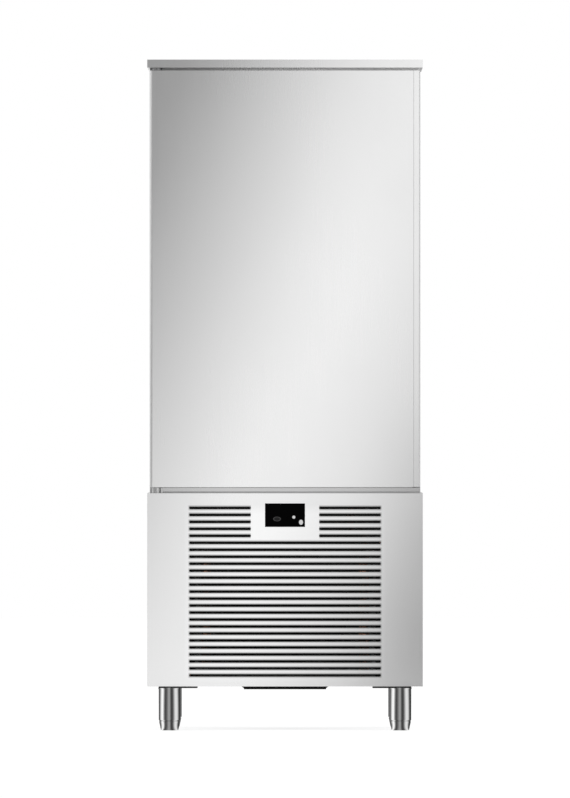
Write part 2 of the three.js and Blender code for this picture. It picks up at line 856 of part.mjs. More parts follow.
// The sheet that holds one end of the coil to the chamber's back; the left one carries the panel's pivots.
function coilBracket(side) {
  const z = [fanPanelZ - lugThickness - sheet, fanPanelTop + lugThickness + sheet];
  const x = [side * coilHalf, side * (coilHalf + sheet)];
  const back = chamberBack - gap;
  const parts = [
    block(x, [fanPanelY + panelReturnDepth / 2, back], z),
    block([side * coilHalf, side * (coilHalf + flange)], [back - sheet, back], z),
  ];
  if (side > 0) return join(...parts);
  const lugs = [
    [z[0], z[0] + lugThickness],
    [z[1] - lugThickness, z[1]],
  ];
  for (const lugZ of lugs)
    parts.push(
      rod(lugRadius, [panelPivotX, panelPivotY, lugZ[0]], [panelPivotX, panelPivotY, lugZ[1]]),
      block([panelPivotX, x[1]], [panelPivotY, panelPivotY + 2 * lugRadius], lugZ),
    );
  const bore = rod(
    panelPinRadius + gap,
    [panelPivotX, panelPivotY, z[0] - lap],
    [panelPivotX, panelPivotY, z[1] + lap],
    12,
  );
  return cut(join(...parts), bore);
}

// Machine compartment

// The front panel's louvres: rows of rounded slots, those beside the controller in two pieces.
function louvres() {
  const rows = Math.floor((compartmentHeight - louvreTopMargin - louvreBottomMargin) / louvrePitch) + 1;
  const glassBottom = deckZ - glassDrop - glassHeight;
  const cells = [];
  for (let row = 0; row < rows; row++) {
    const z = deckZ - louvreTopMargin - row * louvrePitch;
    if (z > glassBottom - controlBlankBelow)
      cells.push([-louvreLength / 2, -controlBlank / 2, z], [controlBlank / 2, louvreLength / 2, z]);
    else cells.push([-louvreLength / 2, louvreLength / 2, z]);
  }
  return cells;
}

// The fin of a louvre: the sheet above the slot, rolled inwards and down.
function louvreFinShape(z) {
  const slotTop = z + louvreHeight / 2;
  const centre = frontY + sheet + louvreBend;
  const arc = (radius) =>
    [0, 1, 2].map((i) => {
      const angle = (louvreTilt * i) / 2;
      return [centre - radius * Math.cos(angle), slotTop - radius * Math.sin(angle)];
    });
  const tip = ([y, height]) => [
    y + louvreFin * Math.sin(louvreTilt),
    height - louvreFin * Math.cos(louvreTilt),
  ];
  const outside = arc(louvreBend + sheet);
  const inside = arc(louvreBend);
  return outline([
    [frontY, slotTop + sheet],
    ...outside,
    tip(outside.at(-1)),
    tip(inside.at(-1)),
    ...inside.reverse(),
    [frontY + sheet, slotTop + sheet],
  ]);
}

function frontPanel() {
  const inside = half - sheet;
  const through = [frontY - lap, frontY + sheet + lap];
  const window = glassWidth / 2 + gap;
  const windowZ = [deckZ - glassDrop - glassHeight - gap, deckZ - glassDrop + gap];
  const pan = cut(
    block([-half, half], [frontY, frontY + panelReturn], [baseZ, deckZ]),
    block([-inside, inside], [frontY + sheet, bodyBottomY], [baseZ + sheet, deckZ - sheet]),
    block([-window, window], through, windowZ),
  );
  const end = louvreHeight / 2;
  const slots = louvres().map(([x0, x1, z]) =>
    alongY(rectangle([x0, x1], [z - end, z + end], end), through, 1),
  );
  const fins = louvres().map(([x0, x1, z]) => alongX(louvreFinShape(z), [x0 + end, x1 - end]));
  return join(cut(pan, ...slots), ...fins);
}

function controllerGlass() {
  const z = [deckZ - glassDrop - glassHeight, deckZ - glassDrop];
  return block([-glassWidth / 2, glassWidth / 2], [frontY, frontY + glassThickness], z);
}

// A tray behind the panel's window, with a border on the sheet's inside.
function controllerHousing() {
  const z = [deckZ - glassDrop - glassHeight, deckZ - glassDrop];
  const y = frontY + sheet + gap;
  const side = glassWidth / 2;
  const wall = housingBorder / 2;
  const box = block([-side - wall, side + wall], [y, y + housingDepth], [z[0] - wall, z[1] + wall]);
  const border = block(
    [-side - housingBorder, side + housingBorder],
    [y, y + sheet],
    [z[0] - housingBorder, z[1] + housingBorder],
  );
  const seat = block(
    [-side - gap, side + gap],
    [y - lap, frontY + glassThickness + gap],
    [z[0] - gap, z[1] + gap],
  );
  return cut(join(box, border), seat);
}

// A side sheet folded inwards along its front, top and bottom.
function sidePanel(side) {
  return cut(
    block([side * (half - flange), side * half], [bodyBottomY, backY], [baseZ, deckZ]),
    block(
      [side * (half - flange - lap), side * (half - sheet)],
      [bodyBottomY + sheet, backY + lap],
      [baseZ + sheet, deckZ - sheet],
    ),
  );
}

// A plate with its four edges folded up or down.
function foldedPlate(plateZ, foldZ) {
  const x = half - flange - gap;
  const y = [bodyBottomY + sheet + gap, backY - gap];
  const z = [Math.min(plateZ[0], foldZ), Math.max(plateZ[1], foldZ)];
  const inner = foldZ > plateZ[1] ? [plateZ[1], foldZ + lap] : [foldZ - lap, plateZ[0]];
  return cut(
    block([-x, x], y, z),
    block([-x + sheet, x - sheet], [y[0] + sheet, y[1] - sheet], inner),
  );
}

function basePlate() {
  return cut(
    foldedPlate([baseZ, baseTop], baseZ + panFlange),
    block([-panHalf - gap, panHalf + gap], [-panHalf - gap, panHalf + gap], [baseZ - lap, baseTop + lap]),
  );
}

function deckPlate() {
  return cut(foldedPlate([deckZ - sheet, deckZ], deckZ - panFlange), ...passages());
}

function rearGrille() {
  const y = backY - grilleSetBack;
  const x = half - flange - gap;
  const z = [baseZ + panFlange + gap, deckZ - panFlange - gap];
  const edge = half - sheet - gap;
  const column = (2 * x - (grilleColumns + 1) * grilleBar) / grilleColumns;
  const rows = Math.floor((z[1] - z[0] - 4 * grilleBar) / grillePitch);
  const slots = [];
  for (let i = 0; i < grilleColumns; i++)
    for (let row = 0; row <= rows; row++) {
      const x0 = -x + grilleBar + i * (column + grilleBar);
      const z0 = z[1] - grilleBar - row * grillePitch;
      slots.push(alongY(rectangle([x0, x0 + column], [z0 - grilleSlot, z0]), [y - sheet - lap, y + lap]));
    }
  const port = rod(glandThroat + gap, [glandX, y - sheet - lap, glandZ], [glandX, y + lap, glandZ]);
  return cut(block([-edge, edge], [y - sheet, y], z), ...slots, port);
}

function cableGland() {
  const y = backY - grilleSetBack;
  const at = (offset) => [glandX, y + offset, glandZ];
  return join(
    rod(glandThroat, at(-glandTail), at(lap), 12),
    rod(glandRadius, at(gap), at(glandNut), 6),
    rod(glandRadius * 0.8, at(glandNut - lap), at(glandNose), 12),
  );
}

// Hermetic compressor: a domed pot with a weld seam, on a foot plate with four rubber mounts.
function compressor() {
  const r = compressorRadius;
  const [foot, height] = [mountHeight, mountHeight + compressorHeight];
  const seam = foot + compressorHeight * 0.55;
  const pot = turned([
    [0, foot],
    [r * 0.6, foot],
    [r * 0.9, foot + compressorRound * 0.4],
    [r * 0.96, foot + compressorRound],
    [r * 0.96, seam - seamHalf],
    [r, seam - seamHalf],
    [r, seam + seamHalf],
    [r * 0.94, seam + seamHalf],
    [r * 0.92, height - compressorRound * 1.5],
    [r * 0.78, height - compressorRound * 0.55],
    [r * 0.42, height - compressorRound * 0.1],
    [0, height],
  ]);
  const mount = r - compressorMountInset;
  const mounts = [[-1, -1], [1, -1], [1, 1], [-1, 1]].map(([x, y]) =>
    rod(compressorMountRadius, [x * mount, y * mount, 0], [x * mount, y * mount, foot + lap], 8),
  );
  const side = r + compressorPlate;
  const plate = block([-side, side], [-side, side], [foot, foot + compressorPlateThickness]);
  const terminalZ = seam + 2 * seamHalf;
  const terminals = block(
    [-r - terminalProud, -r / 2],
    [-terminalHalf, terminalHalf],
    [terminalZ, terminalZ + terminalHeight],
  );
  return join(pot, plate, ...mounts, terminals, ...compressorStubs());
}

// Stubs in the compressor's own frame; the suction one lines up with its riser.
function compressorStubs() {
  const suction = suctionX - compressorX;
  const discharge = compressorRadius * 0.6;
  const reach = compressorRadius + stubLength;
  const height = mountHeight + compressorHeight * compressorStubShare;
  return [
    rod(suctionRadius, [suction, 0, height], [suction, reach, height], 8),
    rod(dischargeRadius, [discharge, 0, height], [discharge, -reach, height], 8),
  ];
}

function condenser() {
  const end = condenserHalf;
  const finEnd = end - 2 * bendRadius;
  const y = [-condenserDepth / 2, condenserDepth / 2];
  const z = [-condenserHeight / 2, condenserHeight / 2];
  const foot = z[0] - condenserLift + gap;
  const spacing = (condenserHeight - 6 * bendRadius) / (condenserBends - 1);
  const cheek = (x) =>
    join(
      block([x, x + sheet], y, [foot, z[1]]),
      block([x, x + condenserFoot * Math.sign(x)], y, [foot, foot + sheet]),
    );
  return join(
    alongZ(finnedOutline(finEnd, condenserDepth), z),
    cheek(-finEnd - sheet / 2),
    cheek(finEnd - sheet / 2),
    block([-end, end], y, [z[1] - sheet, z[1]]),
    ...returnBends(finEnd, 1, z[0] + 2 * bendRadius, condenserBends, spacing),
    rod(dischargeRadius, [finEnd, 0, z[1] - bendRadius], [end + stubLength, 0, z[1] - bendRadius], 8),
    rod(liquidRadius, [-finEnd, 0, z[0] + bendRadius], [-end - stubLength, 0, z[0] + bendRadius], 8),
  );
}

// A hood behind the condenser, open towards it, with a collared hole for its fan and two feet.
function fanShroud() {
  const y = [shroudY, shroudY + shroudDepth];
  const z = [condenserZ + sheet, condenserZ + condenserHeight - 2 * sheet];
  const inside = condenserHalf - sheet;
  const hole = (radius, run) => alongY(disc(radius), run, 14).translate(0, 0, condenserMiddle);
  const feet = [-1, 1].map((side) =>
    block(
      [side * condenserHalf, side * (condenserHalf - flange)],
      [y[1] - sheet, y[1]],
      [baseTop + gap, z[0] + flange],
    ),
  );
  return cut(
    join(
      cut(
        block([-condenserHalf, condenserHalf], y, z),
        block([-inside, inside], [y[0] - lap, y[1] - sheet], [z[0] + sheet, z[1] - sheet]),
      ),
      hole(shroudHole + sheet, [y[1] - sheet / 2, y[1] + shroudCollar]),
      ...feet,
    ),
    hole(shroudHole, [y[0] - lap, y[1] + shroudCollar + lap]),
  );
}

// An upright tank on a ring foot, with its outlet on top and its inlet at the side.
function receiver() {
  const r = receiverRadius;
  const h = receiverHeight;
  const [low, high] = [receiverEnd, h - receiverEnd];
  const inlet = h * receiverInletShare;
  const shell = turned([
    [0, low],
    [r * 0.6, low + receiverDome * 0.1],
    [r, low + receiverDome],
    [r, high - receiverDome],
    [r * 0.6, high - receiverDome * 0.1],
    [0, high],
  ]);
  const ring = turned([
    [0, 0],
    [r, 0],
    [r, 2 * sheet],
    [r * 0.7, 2 * sheet],
    [r * 0.7, low + receiverDome / 2],
    [0, low + receiverDome / 2],
  ]);
  return join(
    shell,
    ring,
    rod(liquidRadius, [0, 0, high - receiverDome / 2], [0, 0, h], 8),
    rod(liquidRadius, [-r - stubLength, 0, inlet], [0, 0, inlet], 8),
  );
}

// A closed box on the left side sheet, with a lid that stands a little proud all round.
function electricalBox() {
  const x = -half + sheet + gap;
  const z = baseTop + boxLift;
  const [y, lidY] = [boxLength / 2, boxLength / 2 + boxLid];
  return join(
    block([x, x + boxDepth], [-y, y], [z, z + boxHeight]),
    block([x + boxDepth - lap, x + boxDepth + boxLid], [-lidY, lidY], [z - boxLid, z + boxHeight + boxLid]),
  );
}

// Pipes

const suctionPipe = () => pipe(suctionRun(), suctionRadius);

function dischargePipe() {
  const low = baseTop + gap + mountHeight + compressorHeight * compressorStubShare;
  const high = condenserMiddle + condenserHeight / 2 - bendRadius;
  const start = compressorX + compressorRadius * 0.6;
  const run = condenserHalf + stubLength + 3 * pipeBend;
  return pipe(
    [
      [start, compressorY - compressorRadius - stubLength - gap, low],
      [start, compressorY - compressorRadius - stubLength - 2 * pipeBend, low],
      [run, compressorY - compressorRadius - stubLength - 5 * pipeBend, low],
      [run, condenserY, low],
      [run, condenserY, high],
      [condenserHalf + stubLength + gap, condenserY, high],
    ],
    dischargeRadius,
    pipeBend,
    6,
  );
}

function condenserPipe() {
  const start = -condenserHalf - stubLength - gap;
  const run = start - 2 * pipeBend;
  const low = condenserZ + bendRadius;
  const inlet = baseTop + gap + receiverHeight * receiverInletShare;
  return pipe(
    [
      [start, condenserY, low],
      [run, condenserY, low],
      [run, receiverY, low],
      [run, receiverY, inlet],
      [receiverX - receiverRadius - stubLength - gap, receiverY, inlet],
    ],
    liquidRadius,
    pipeBend,
    6,
  );
}

// From the receiver up through the filter drier and the cabinet's back wall to the coil.
function liquidPipe() {
  const r = drierRadius;
  const neck = liquidRadius * 0.5;
  const shoulderZ = r * 0.7;
  const drier = turned([
    [0, 0],
    [neck, 0],
    [r, shoulderZ],
    [r, drierLength - shoulderZ],
    [neck, drierLength],
    [0, drierLength],
  ]);
  drier.translate(receiverX, receiverY, drierZ);
  return join(pipe(liquidRun(), liquidRadius, pipeBend, 6), drier);
}

// Drain

function drainPipe() {
  const low = baseZ - panDrop + panDepth / 2;
  const seat = chamberZ + gap;
  return cut(
    join(
      rod(drainRadius, [0, 0, low], [0, 0, seat + lap], 16),
      rod(drainFlange, [0, 0, seat], [0, 0, seat + linerSheet], 16),
    ),
    rod(drainRadius - drainWall, [0, 0, low - lap], [0, 0, seat + linerSheet + lap], 16),
  );
}

// A tapering pan dropped through the base and held by its rim.
function condensatePan() {
  const [bottom, rim] = [baseZ - panDrop, baseTop + gap];
  const square = (side, z) => [
    [-side, -side, z],
    [side, -side, z],
    [side, side, z],
    [-side, side, z],
  ];
  const body = (inset, floor, lift) =>
    loft([
      square(panBottomHalf - inset, floor),
      square(panHalf - gap - inset, baseZ),
      square(panHalf - gap - inset, bottom + panDepth + lift),
    ]);
  const outer = panHalf + panRim;
  return cut(
    join(body(0, bottom, 0), block([-outer, outer], [-outer, outer], [rim, rim + sheet])),
    body(sheet, bottom + sheet, lap),
  );
}

// Legs

function leg(sideX, sideY) {
  const low = noseHeight;
  const high = low + sleeveLength;
  const edge = [legInset - legPlateInset, legInset - legPlateInset - legPlateSide];
  const bore = stemRadius + gap;
  const sleeve = turned([
    [bore, low],
    [sleeveRadius - legChamfer, low],
    [sleeveRadius, low + legChamfer],
    [sleeveRadius, high + lap],
    [bore, high + lap],
    [bore, low],
  ]);
  const plate = block(edge.map((v) => v * sideX), edge.map((v) => v * sideY), [high, high + legPlate - gap]);
  return join(sleeve, plate);
}

function foot() {
  const high = noseHeight - gap;
  return turned([
    [0, 0],
    [noseRadius - legChamfer, 0],
    [noseRadius, legChamfer],
    [sleeveRadius - legChamfer, high - noseCollar],
    [sleeveRadius - legChamfer, high],
    [stemRadius, high],
    [stemRadius, high + stemLength],
    [0, high + stemLength],
  ]);
}

// Finishes

const metal = (color, roughness) => new THREE.MeshStandardMaterial({ color, roughness, metalness: 1 });
const plain = (color, roughness) => new THREE.MeshStandardMaterial({ color, roughness, metalness: 0 });
const finish = {
  brushedSteel: metal(0xc8c9c8, 0.34),
  linerSteel: metal(0xb9bbbb, 0.3),
  polishedSteel: metal(0xd2d3d3, 0.16),
  galvanised: metal(0xa3a8aa, 0.5),
  aluminium: metal(0xbfc2c4, 0.35),
  copper: metal(0xb8693f, 0.32),
  foam: plain(0xd9cfa8, 0.9),
  blackPlastic: plain(0x17181a, 0.5),
  greyPlastic: plain(0x55585b, 0.6),
  seal: plain(0x2b2d2f, 0.75),
  glass: plain(0x060708, 0.06),
  blackSteel: plain(0x16181a, 0.45),
};

function piece(name, shape, material) {
  let geometry = shape;
  if (!shape.isBufferGeometry) {
    const { vertProperties, triVerts } = shape.getMesh();
    geometry = new THREE.BufferGeometry();
    geometry.setAttribute("position", new THREE.BufferAttribute(vertProperties, 3));
    geometry.setIndex(new THREE.BufferAttribute(triVerts, 1));
    geometry.computeVertexNormals();
  }
  const mesh = new THREE.Mesh(geometry, material.clone());
  mesh.name = name;
  return mesh;
}

function cabinet() {
  const group = new THREE.Group();
  group.add(
    piece("outer_shell", outerShell(), finish.brushedSteel),
    piece("back_panel", backPanel(), finish.galvanised),
    piece("inner_liner", innerLiner(), finish.linerSteel),
    piece("insulation", insulation(), finish.foam),
    piece("top_cover", topCover(), finish.brushedSteel),
    piece("door_sill", doorSill(), finish.brushedSteel),
    piece(
      "hinge_bracket_bottom",
      hingeBracket([shellZ, sillTop], shellZ + bracketLeg, sillTop + pinLength),
      finish.blackSteel,
    ),
    piece(
      "hinge_bracket_top",
      hingeBracket(
        [doorTop + headClearance, doorTop + headClearance + bracketThickness],
        doorTop - bracketLeg,
        doorTop - pinLength,
      ),
      finish.blackSteel,
    ),
  );
  return group;
}

function door() {
  const group = new THREE.Group();
  const tube = pinLength + bushWall;
  group.add(
    piece("door_skin", doorSkin(), finish.brushedSteel),
    piece("door_foam", doorFoam(), finish.foam),
    piece("door_liner", doorLiner(), finish.linerSteel),
    piece("door_gasket", doorGasket(), finish.seal),
    piece("door_handle", doorHandle(), finish.brushedSteel),
    piece("hinge_bush_bottom", hingeBush([sillTop + gap, doorZ - gap], doorZ + tube), finish.greyPlastic),
    piece(
      "hinge_bush_top",
      hingeBush([doorTop + headClearance - gap, doorTop + gap], doorTop - tube),
      finish.greyPlastic,
    ),
  );
  return group;
}

function chamber() {
  const group = new THREE.Group();
  group.add(
    piece("rack_left", rack(-1), finish.linerSteel),
    piece("rack_right", rack(1), finish.linerSteel),
    piece("fan_panel", fanPanel(), finish.linerSteel),
    piece("evaporator", evaporator(), finish.aluminium),
    piece("coil_bracket_left", coilBracket(-1), finish.galvanised),
    piece("coil_bracket_right", coilBracket(1), finish.galvanised),
    piece("drain_pipe", drainPipe(), finish.greyPlastic),
  );
  const wheelY = fanPanelY + fanSetBack + fanDepth / 2;
  const motorY = fanPanelY + fanSetBack + fanDepth + motorBehind;
  fanHeights().forEach((z, i) => {
    const guard = piece(`fan_guard_${i + 1}`, fanGuard(), finish.polishedSteel);
    guard.position.set(0, fanPanelY, z);
    const wheel = piece(
      `fan_rotor_${i + 1}`,
      fanWheel(fanHub, fanHole - bladeGap, fanDepth, blades),
      finish.blackPlastic,
    );
    wheel.position.set(0, wheelY, z);
    const reach = fanHole + sheet + 2 * armThickness;
    const forward = motorY - fanPanelY - sheet - gap;
    const motor = piece(
      `fan_motor_${i + 1}`,
      fanMotor(motorRadius, motorLength, fanDepth / 2, reach, forward),
      finish.blackSteel,
    );
    motor.position.set(0, motorY, z);
    group.add(guard, wheel, motor);
  });
  return group;
}

function machineCompartment() {
  const group = new THREE.Group();
  group.add(
    piece("front_panel", frontPanel(), finish.brushedSteel),
    piece("controller_glass", controllerGlass(), finish.glass),
    piece("controller_housing", controllerHousing(), finish.blackPlastic),
    piece("side_panel_left", sidePanel(-1), finish.brushedSteel),
    piece("side_panel_right", sidePanel(1), finish.brushedSteel),
    piece("base_plate", basePlate(), finish.galvanised),
    piece("deck_plate", deckPlate(), finish.galvanised),
    piece("rear_grille", rearGrille(), finish.brushedSteel),
    piece("cable_gland", cableGland(), finish.blackPlastic),
    piece("fan_shroud", fanShroud(), finish.galvanised),
    piece("electrical_box", electricalBox(), finish.greyPlastic),
    piece("suction_pipe", suctionPipe(), finish.copper),
    piece("discharge_pipe", dischargePipe(), finish.copper),
    piece("condenser_pipe", condenserPipe(), finish.copper),
    piece("liquid_pipe", liquidPipe(), finish.copper),
    piece("condensate_pan", condensatePan(), finish.blackPlastic),
  );
  const pot = piece("compressor", compressor(), finish.blackSteel);
  pot.position.set(compressorX, compressorY, baseTop + gap);
  const coil = piece("condenser", condenser(), finish.aluminium);
  coil.position.set(0, condenserY, condenserMiddle);
  const tank = piece("receiver", receiver(), finish.blackSteel);
  tank.position.set(receiverX, receiverY, baseTop + gap);
  const wheelY = shroudY + shroudDepth + condenserFanSetBack + condenserFanDepth / 2;
  const wheel = piece(
    "condenser_fan_rotor",
    fanWheel(condenserHub, shroudHole - bladeGap, condenserFanDepth, blades),
    finish.blackPlastic,
  );
  wheel.position.set(0, wheelY, condenserMiddle);
  const motorY = wheelY + condenserFanDepth / 2 + condenserMotorBehind;
  const motor = piece(
    "condenser_fan_motor",
    fanMotor(
      condenserMotorRadius,
      condenserMotorLength,
      condenserFanDepth / 2,
      shroudHole + sheet + 2 * armThickness,
      motorY - shroudY - shroudDepth - gap,
    ),
    finish.blackSteel,
  );
  motor.position.set(0, motorY, condenserMiddle);
  group.add(pot, coil, tank, wheel, motor);
  return group;
}

function legs() {
  const group = new THREE.Group();
  const corners = [[-1, -1], [1, -1], [1, 1], [-1, 1]];
  corners.forEach(([sideX, sideY], i) => {
    const corner = new THREE.Group();
    corner.position.set(sideX * (half - legInset), sideY * (backY - legInset), 0);
    corner.add(
      piece(`leg_${i + 1}`, leg(sideX, sideY), finish.polishedSteel),
      piece(`foot_${i + 1}`, foot(), finish.polishedSteel),
    );
    group.add(corner);
  });
  return group;
}

const blastChiller = new THREE.Group();
blastChiller.add(cabinet(), door(), chamber(), machineCompartment(), legs());
export default blastChiller;
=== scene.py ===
import json
import math

import bmesh
import bpy
from mathutils import Matrix, Vector

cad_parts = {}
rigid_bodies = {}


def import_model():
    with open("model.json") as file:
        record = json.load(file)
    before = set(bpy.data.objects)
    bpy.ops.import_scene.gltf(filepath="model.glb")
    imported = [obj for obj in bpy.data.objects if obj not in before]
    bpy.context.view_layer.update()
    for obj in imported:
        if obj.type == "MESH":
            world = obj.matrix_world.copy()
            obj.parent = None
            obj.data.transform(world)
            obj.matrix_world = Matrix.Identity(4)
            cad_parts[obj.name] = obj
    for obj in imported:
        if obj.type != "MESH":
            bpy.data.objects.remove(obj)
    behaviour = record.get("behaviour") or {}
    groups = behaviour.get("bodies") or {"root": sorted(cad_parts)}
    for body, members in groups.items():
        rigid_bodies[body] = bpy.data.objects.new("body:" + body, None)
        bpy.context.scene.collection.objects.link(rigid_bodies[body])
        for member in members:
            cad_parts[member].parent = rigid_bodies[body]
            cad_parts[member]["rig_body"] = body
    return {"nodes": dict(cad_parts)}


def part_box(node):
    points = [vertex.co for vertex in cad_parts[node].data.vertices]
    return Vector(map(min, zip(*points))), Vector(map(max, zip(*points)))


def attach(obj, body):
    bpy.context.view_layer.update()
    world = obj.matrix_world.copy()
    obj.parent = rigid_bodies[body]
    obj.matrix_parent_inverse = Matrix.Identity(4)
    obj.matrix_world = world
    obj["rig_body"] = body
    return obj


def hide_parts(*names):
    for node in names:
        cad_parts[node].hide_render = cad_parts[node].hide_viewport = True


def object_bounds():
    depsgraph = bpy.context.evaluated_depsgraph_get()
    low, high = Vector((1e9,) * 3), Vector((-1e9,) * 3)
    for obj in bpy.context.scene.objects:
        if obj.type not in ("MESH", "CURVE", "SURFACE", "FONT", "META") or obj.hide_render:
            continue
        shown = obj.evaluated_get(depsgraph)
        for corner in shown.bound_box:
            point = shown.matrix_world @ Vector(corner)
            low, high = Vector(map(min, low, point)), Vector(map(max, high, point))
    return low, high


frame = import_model()
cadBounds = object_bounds()
nodes = frame["nodes"]


# Small helps for modelling

def deselectAll():
    if bpy.context.object and bpy.context.object.mode != "OBJECT":
        bpy.ops.object.mode_set(mode="OBJECT")
    bpy.ops.object.select_all(action="DESELECT")


def pick(*pieces):
    deselectAll()
    for piece in pieces:
        piece.select_set(True)
    bpy.context.view_layer.objects.active = pieces[0]


def settle(piece):
    pick(piece)
    bpy.ops.object.transform_apply(location=True, rotation=True, scale=True)
    return piece


# Opens a piece in edit mode with all of it selected
def openUp(piece):
    pick(piece)
    bpy.ops.object.mode_set(mode="EDIT")
    bpy.ops.mesh.select_mode(type="VERT")
    bpy.ops.mesh.select_all(action="SELECT")


def closeUp():
    bpy.ops.object.mode_set(mode="OBJECT")


# Selects the verts or faces of an open piece that pass a test, and nothing else
def choose(piece, kind, test):
    bpy.ops.mesh.select_all(action="DESELECT")
    mesh = bmesh.from_edit_mesh(piece.data)
    for element in getattr(mesh, kind):
        element.select = test(element)
    mesh.select_flush(True)


def addModifier(piece, kind, **settings):
    modifier = piece.modifiers.new(kind.lower(), kind)
    for name, value in settings.items():
        setattr(modifier, name, value)
    return modifier


def applyModifier(piece, kind, **settings):
    modifier = addModifier(piece, kind, **settings)
    pick(piece)
    bpy.ops.object.modifier_apply(modifier=modifier.name)
    return piece


def recalculate(piece):
    openUp(piece)
    bpy.ops.mesh.remove_doubles(threshold=0.00001)
    bpy.ops.mesh.normals_make_consistent(inside=False)
    closeUp()
    return piece


def smoothed(piece, angle=35):
    pick(piece)
    bpy.ops.object.shade_smooth_by_angle(angle=math.radians(angle))
    return piece


def joined(pieces):
    pick(*pieces)
    if len(pieces) > 1:
        bpy.ops.object.join()
    return pieces[0]


def copyOf(piece, matrix):
    twin = piece.copy()
    twin.data = piece.data.copy()
    bpy.context.collection.objects.link(twin)
    twin.data.transform(matrix)
    return twin


def copiesOf(piece, matrices):
    twins = [copyOf(piece, matrix) for matrix in matrices]
    bpy.data.objects.remove(piece)
    return twins


def centreOf(node):
    low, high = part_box(node)
    return (low + high) / 2


def bodyOf(node):
    return nodes[node]["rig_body"]


# A finished piece: its name and finish, the body it rides on and the nodes it stands for
def finishPiece(piece, name, finish, body, *replaced):
    piece.name = name
    piece.data.name = name
    piece.data.materials.clear()
    piece.data.materials.append(finishes[finish]["material"])
    for polygon in piece.data.polygons:
        polygon.material_index = 0
    if replaced:
        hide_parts(*replaced)
    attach(piece, body)


# A finished piece in the place of one node, or beside it
def standIn(piece, name, finish, node):
    finishPiece(piece, name, finish, bodyOf(node), node)


def standBy(piece, name, finish, node):
    finishPiece(piece, name, finish, bodyOf(node))


# Draws the selected rim out to each further place of a profile; spread gives its growth there
def drawOut(profile, spread):
    last = profile[0]
    for place in profile[1:]:
        rise = (0, 0, place[1] - last[1])
        bpy.ops.mesh.extrude_region_move(TRANSFORM_OT_translate={"value": rise})
        bpy.ops.transform.resize(value=spread(last[0], place[0]), center_override=(0, 0, place[1]))
        last = place
    closeUp()


def laid(piece, centre, axis, smooth):
    recalculate(piece)
    if axis == "Y":
        piece.rotation_euler = (-math.pi / 2, 0, 0)
    piece.location = centre
    return smoothed(settle(piece), smooth)


# A turned piece: (radius, height) along Z, then laid along its axis; a ring's profile closes on itself
def turned(profile, centre, axis="Z", sides=48, smooth=35, ring=False):
    deselectAll()
    radius, height = profile[0]
    fill = "NOTHING" if ring else "NGON"
    bpy.ops.mesh.primitive_circle_add(vertices=sides, radius=radius, fill_type=fill, location=(0, 0, height))
    piece = settle(bpy.context.object)
    openUp(piece)
    drawOut([*profile, profile[0]] if ring else profile, lambda old, new: (new / old, new / old, 1))
    return laid(piece, centre, axis, smooth)


# A rectangular frame round an opening: (distance out, height) for each edge of its closed section
def framed(section, halfWidth, halfHeight, centre):
    deselectAll()
    out, height = section[0]
    bpy.ops.mesh.primitive_plane_add(size=2, location=(0, 0, height))
    piece = bpy.context.object
    piece.scale = (halfWidth + out, halfHeight + out, 1)
    openUp(settle(piece))
    bpy.ops.mesh.delete(type="ONLY_FACE")
    bpy.ops.mesh.select_all(action="SELECT")
    drawOut(
        [*section, section[0]],
        lambda old, new: (
            (halfWidth + new) / (halfWidth + old), (halfHeight + new) / (halfHeight + old), 1
        ),
    )
    return laid(piece, centre, "Y", 30)


# A block with softened edges between two corners
def block(low, high, softness=0.0005, segments=2):
    deselectAll()
    low, high = Vector(low), Vector(high)
    bpy.ops.mesh.primitive_cube_add(size=1, location=(low + high) / 2)
    piece = bpy.context.object
    piece.scale = high - low
    settle(piece)
    if softness:
        applyModifier(piece, "BEVEL", width=softness, segments=segments, limit_method="ANGLE")
    return piece


# A round wire or pipe along points
def wire(points, radius, closed=False, smoothness=2):
    curve = bpy.data.curves.new("wire", "CURVE")
    curve.dimensions = "3D"
    curve.bevel_depth = radius
    curve.bevel_resolution = smoothness
    curve.use_fill_caps = not closed
    spline = curve.splines.new("POLY")
    spline.points.add(len(points) - 1)
    for point, place in zip(spline.points, points):
        point.co = (*place, 1)
    spline.use_cyclic_u = closed
    piece = bpy.data.objects.new("wire", curve)
    bpy.context.collection.objects.link(piece)
    pick(piece)
    bpy.ops.object.convert(target="MESH")
    return smoothed(bpy.context.object, 50)


# Finishes

def link(source, target):
    target.id_data.links.new(source, target)


def newFinish(name):
    material = bpy.data.materials.new(name)
    material.use_nodes = True
    return material, material.node_tree, material.node_tree.nodes["Principled BSDF"]


# What a finish that builds on another needs of it
def colourOf(material):
    tree = material.node_tree
    shader = tree.nodes["Principled BSDF"]
    return tree, shader, shader.inputs["Base Color"].links[0].from_socket


def addNode(tree, kind, **settings):
    node = tree.nodes.new(kind)
    for name, value in settings.items():
        setattr(node, name, value)
    return node


def setInputs(node, **values):
    for name, value in values.items():
        node.inputs[name].default_value = value


def pattern(tree, scale=(1, 1, 1), location=(0, 0, 0)):
    mapping = addNode(tree, "ShaderNodeMapping")
    setInputs(mapping, Location=location, Scale=scale)
    link(addNode(tree, "ShaderNodeTexCoord").outputs["Object"], mapping.inputs["Vector"])
    return mapping.outputs["Vector"]


def axes(tree):
    place = addNode(tree, "ShaderNodeSeparateXYZ")
    link(pattern(tree), place.inputs["Vector"])
    return place.outputs["X"], place.outputs["Y"], place.outputs["Z"]


def noise(tree, scale, detail):
    texture = addNode(tree, "ShaderNodeTexNoise")
    setInputs(texture, Scale=1, Detail=detail, Roughness=0.5)
    link(pattern(tree, scale), texture.inputs["Vector"])
    return texture.outputs["Fac"]


def between(value, low, high, fromLow=0.3, fromHigh=0.7):
    ranged = addNode(value.id_data, "ShaderNodeMapRange")
    setInputs(ranged, **{"From Min": fromLow, "From Max": fromHigh, "To Min": low, "To Max": high})
    link(value, ranged.inputs["Value"])
    return ranged.outputs["Result"]


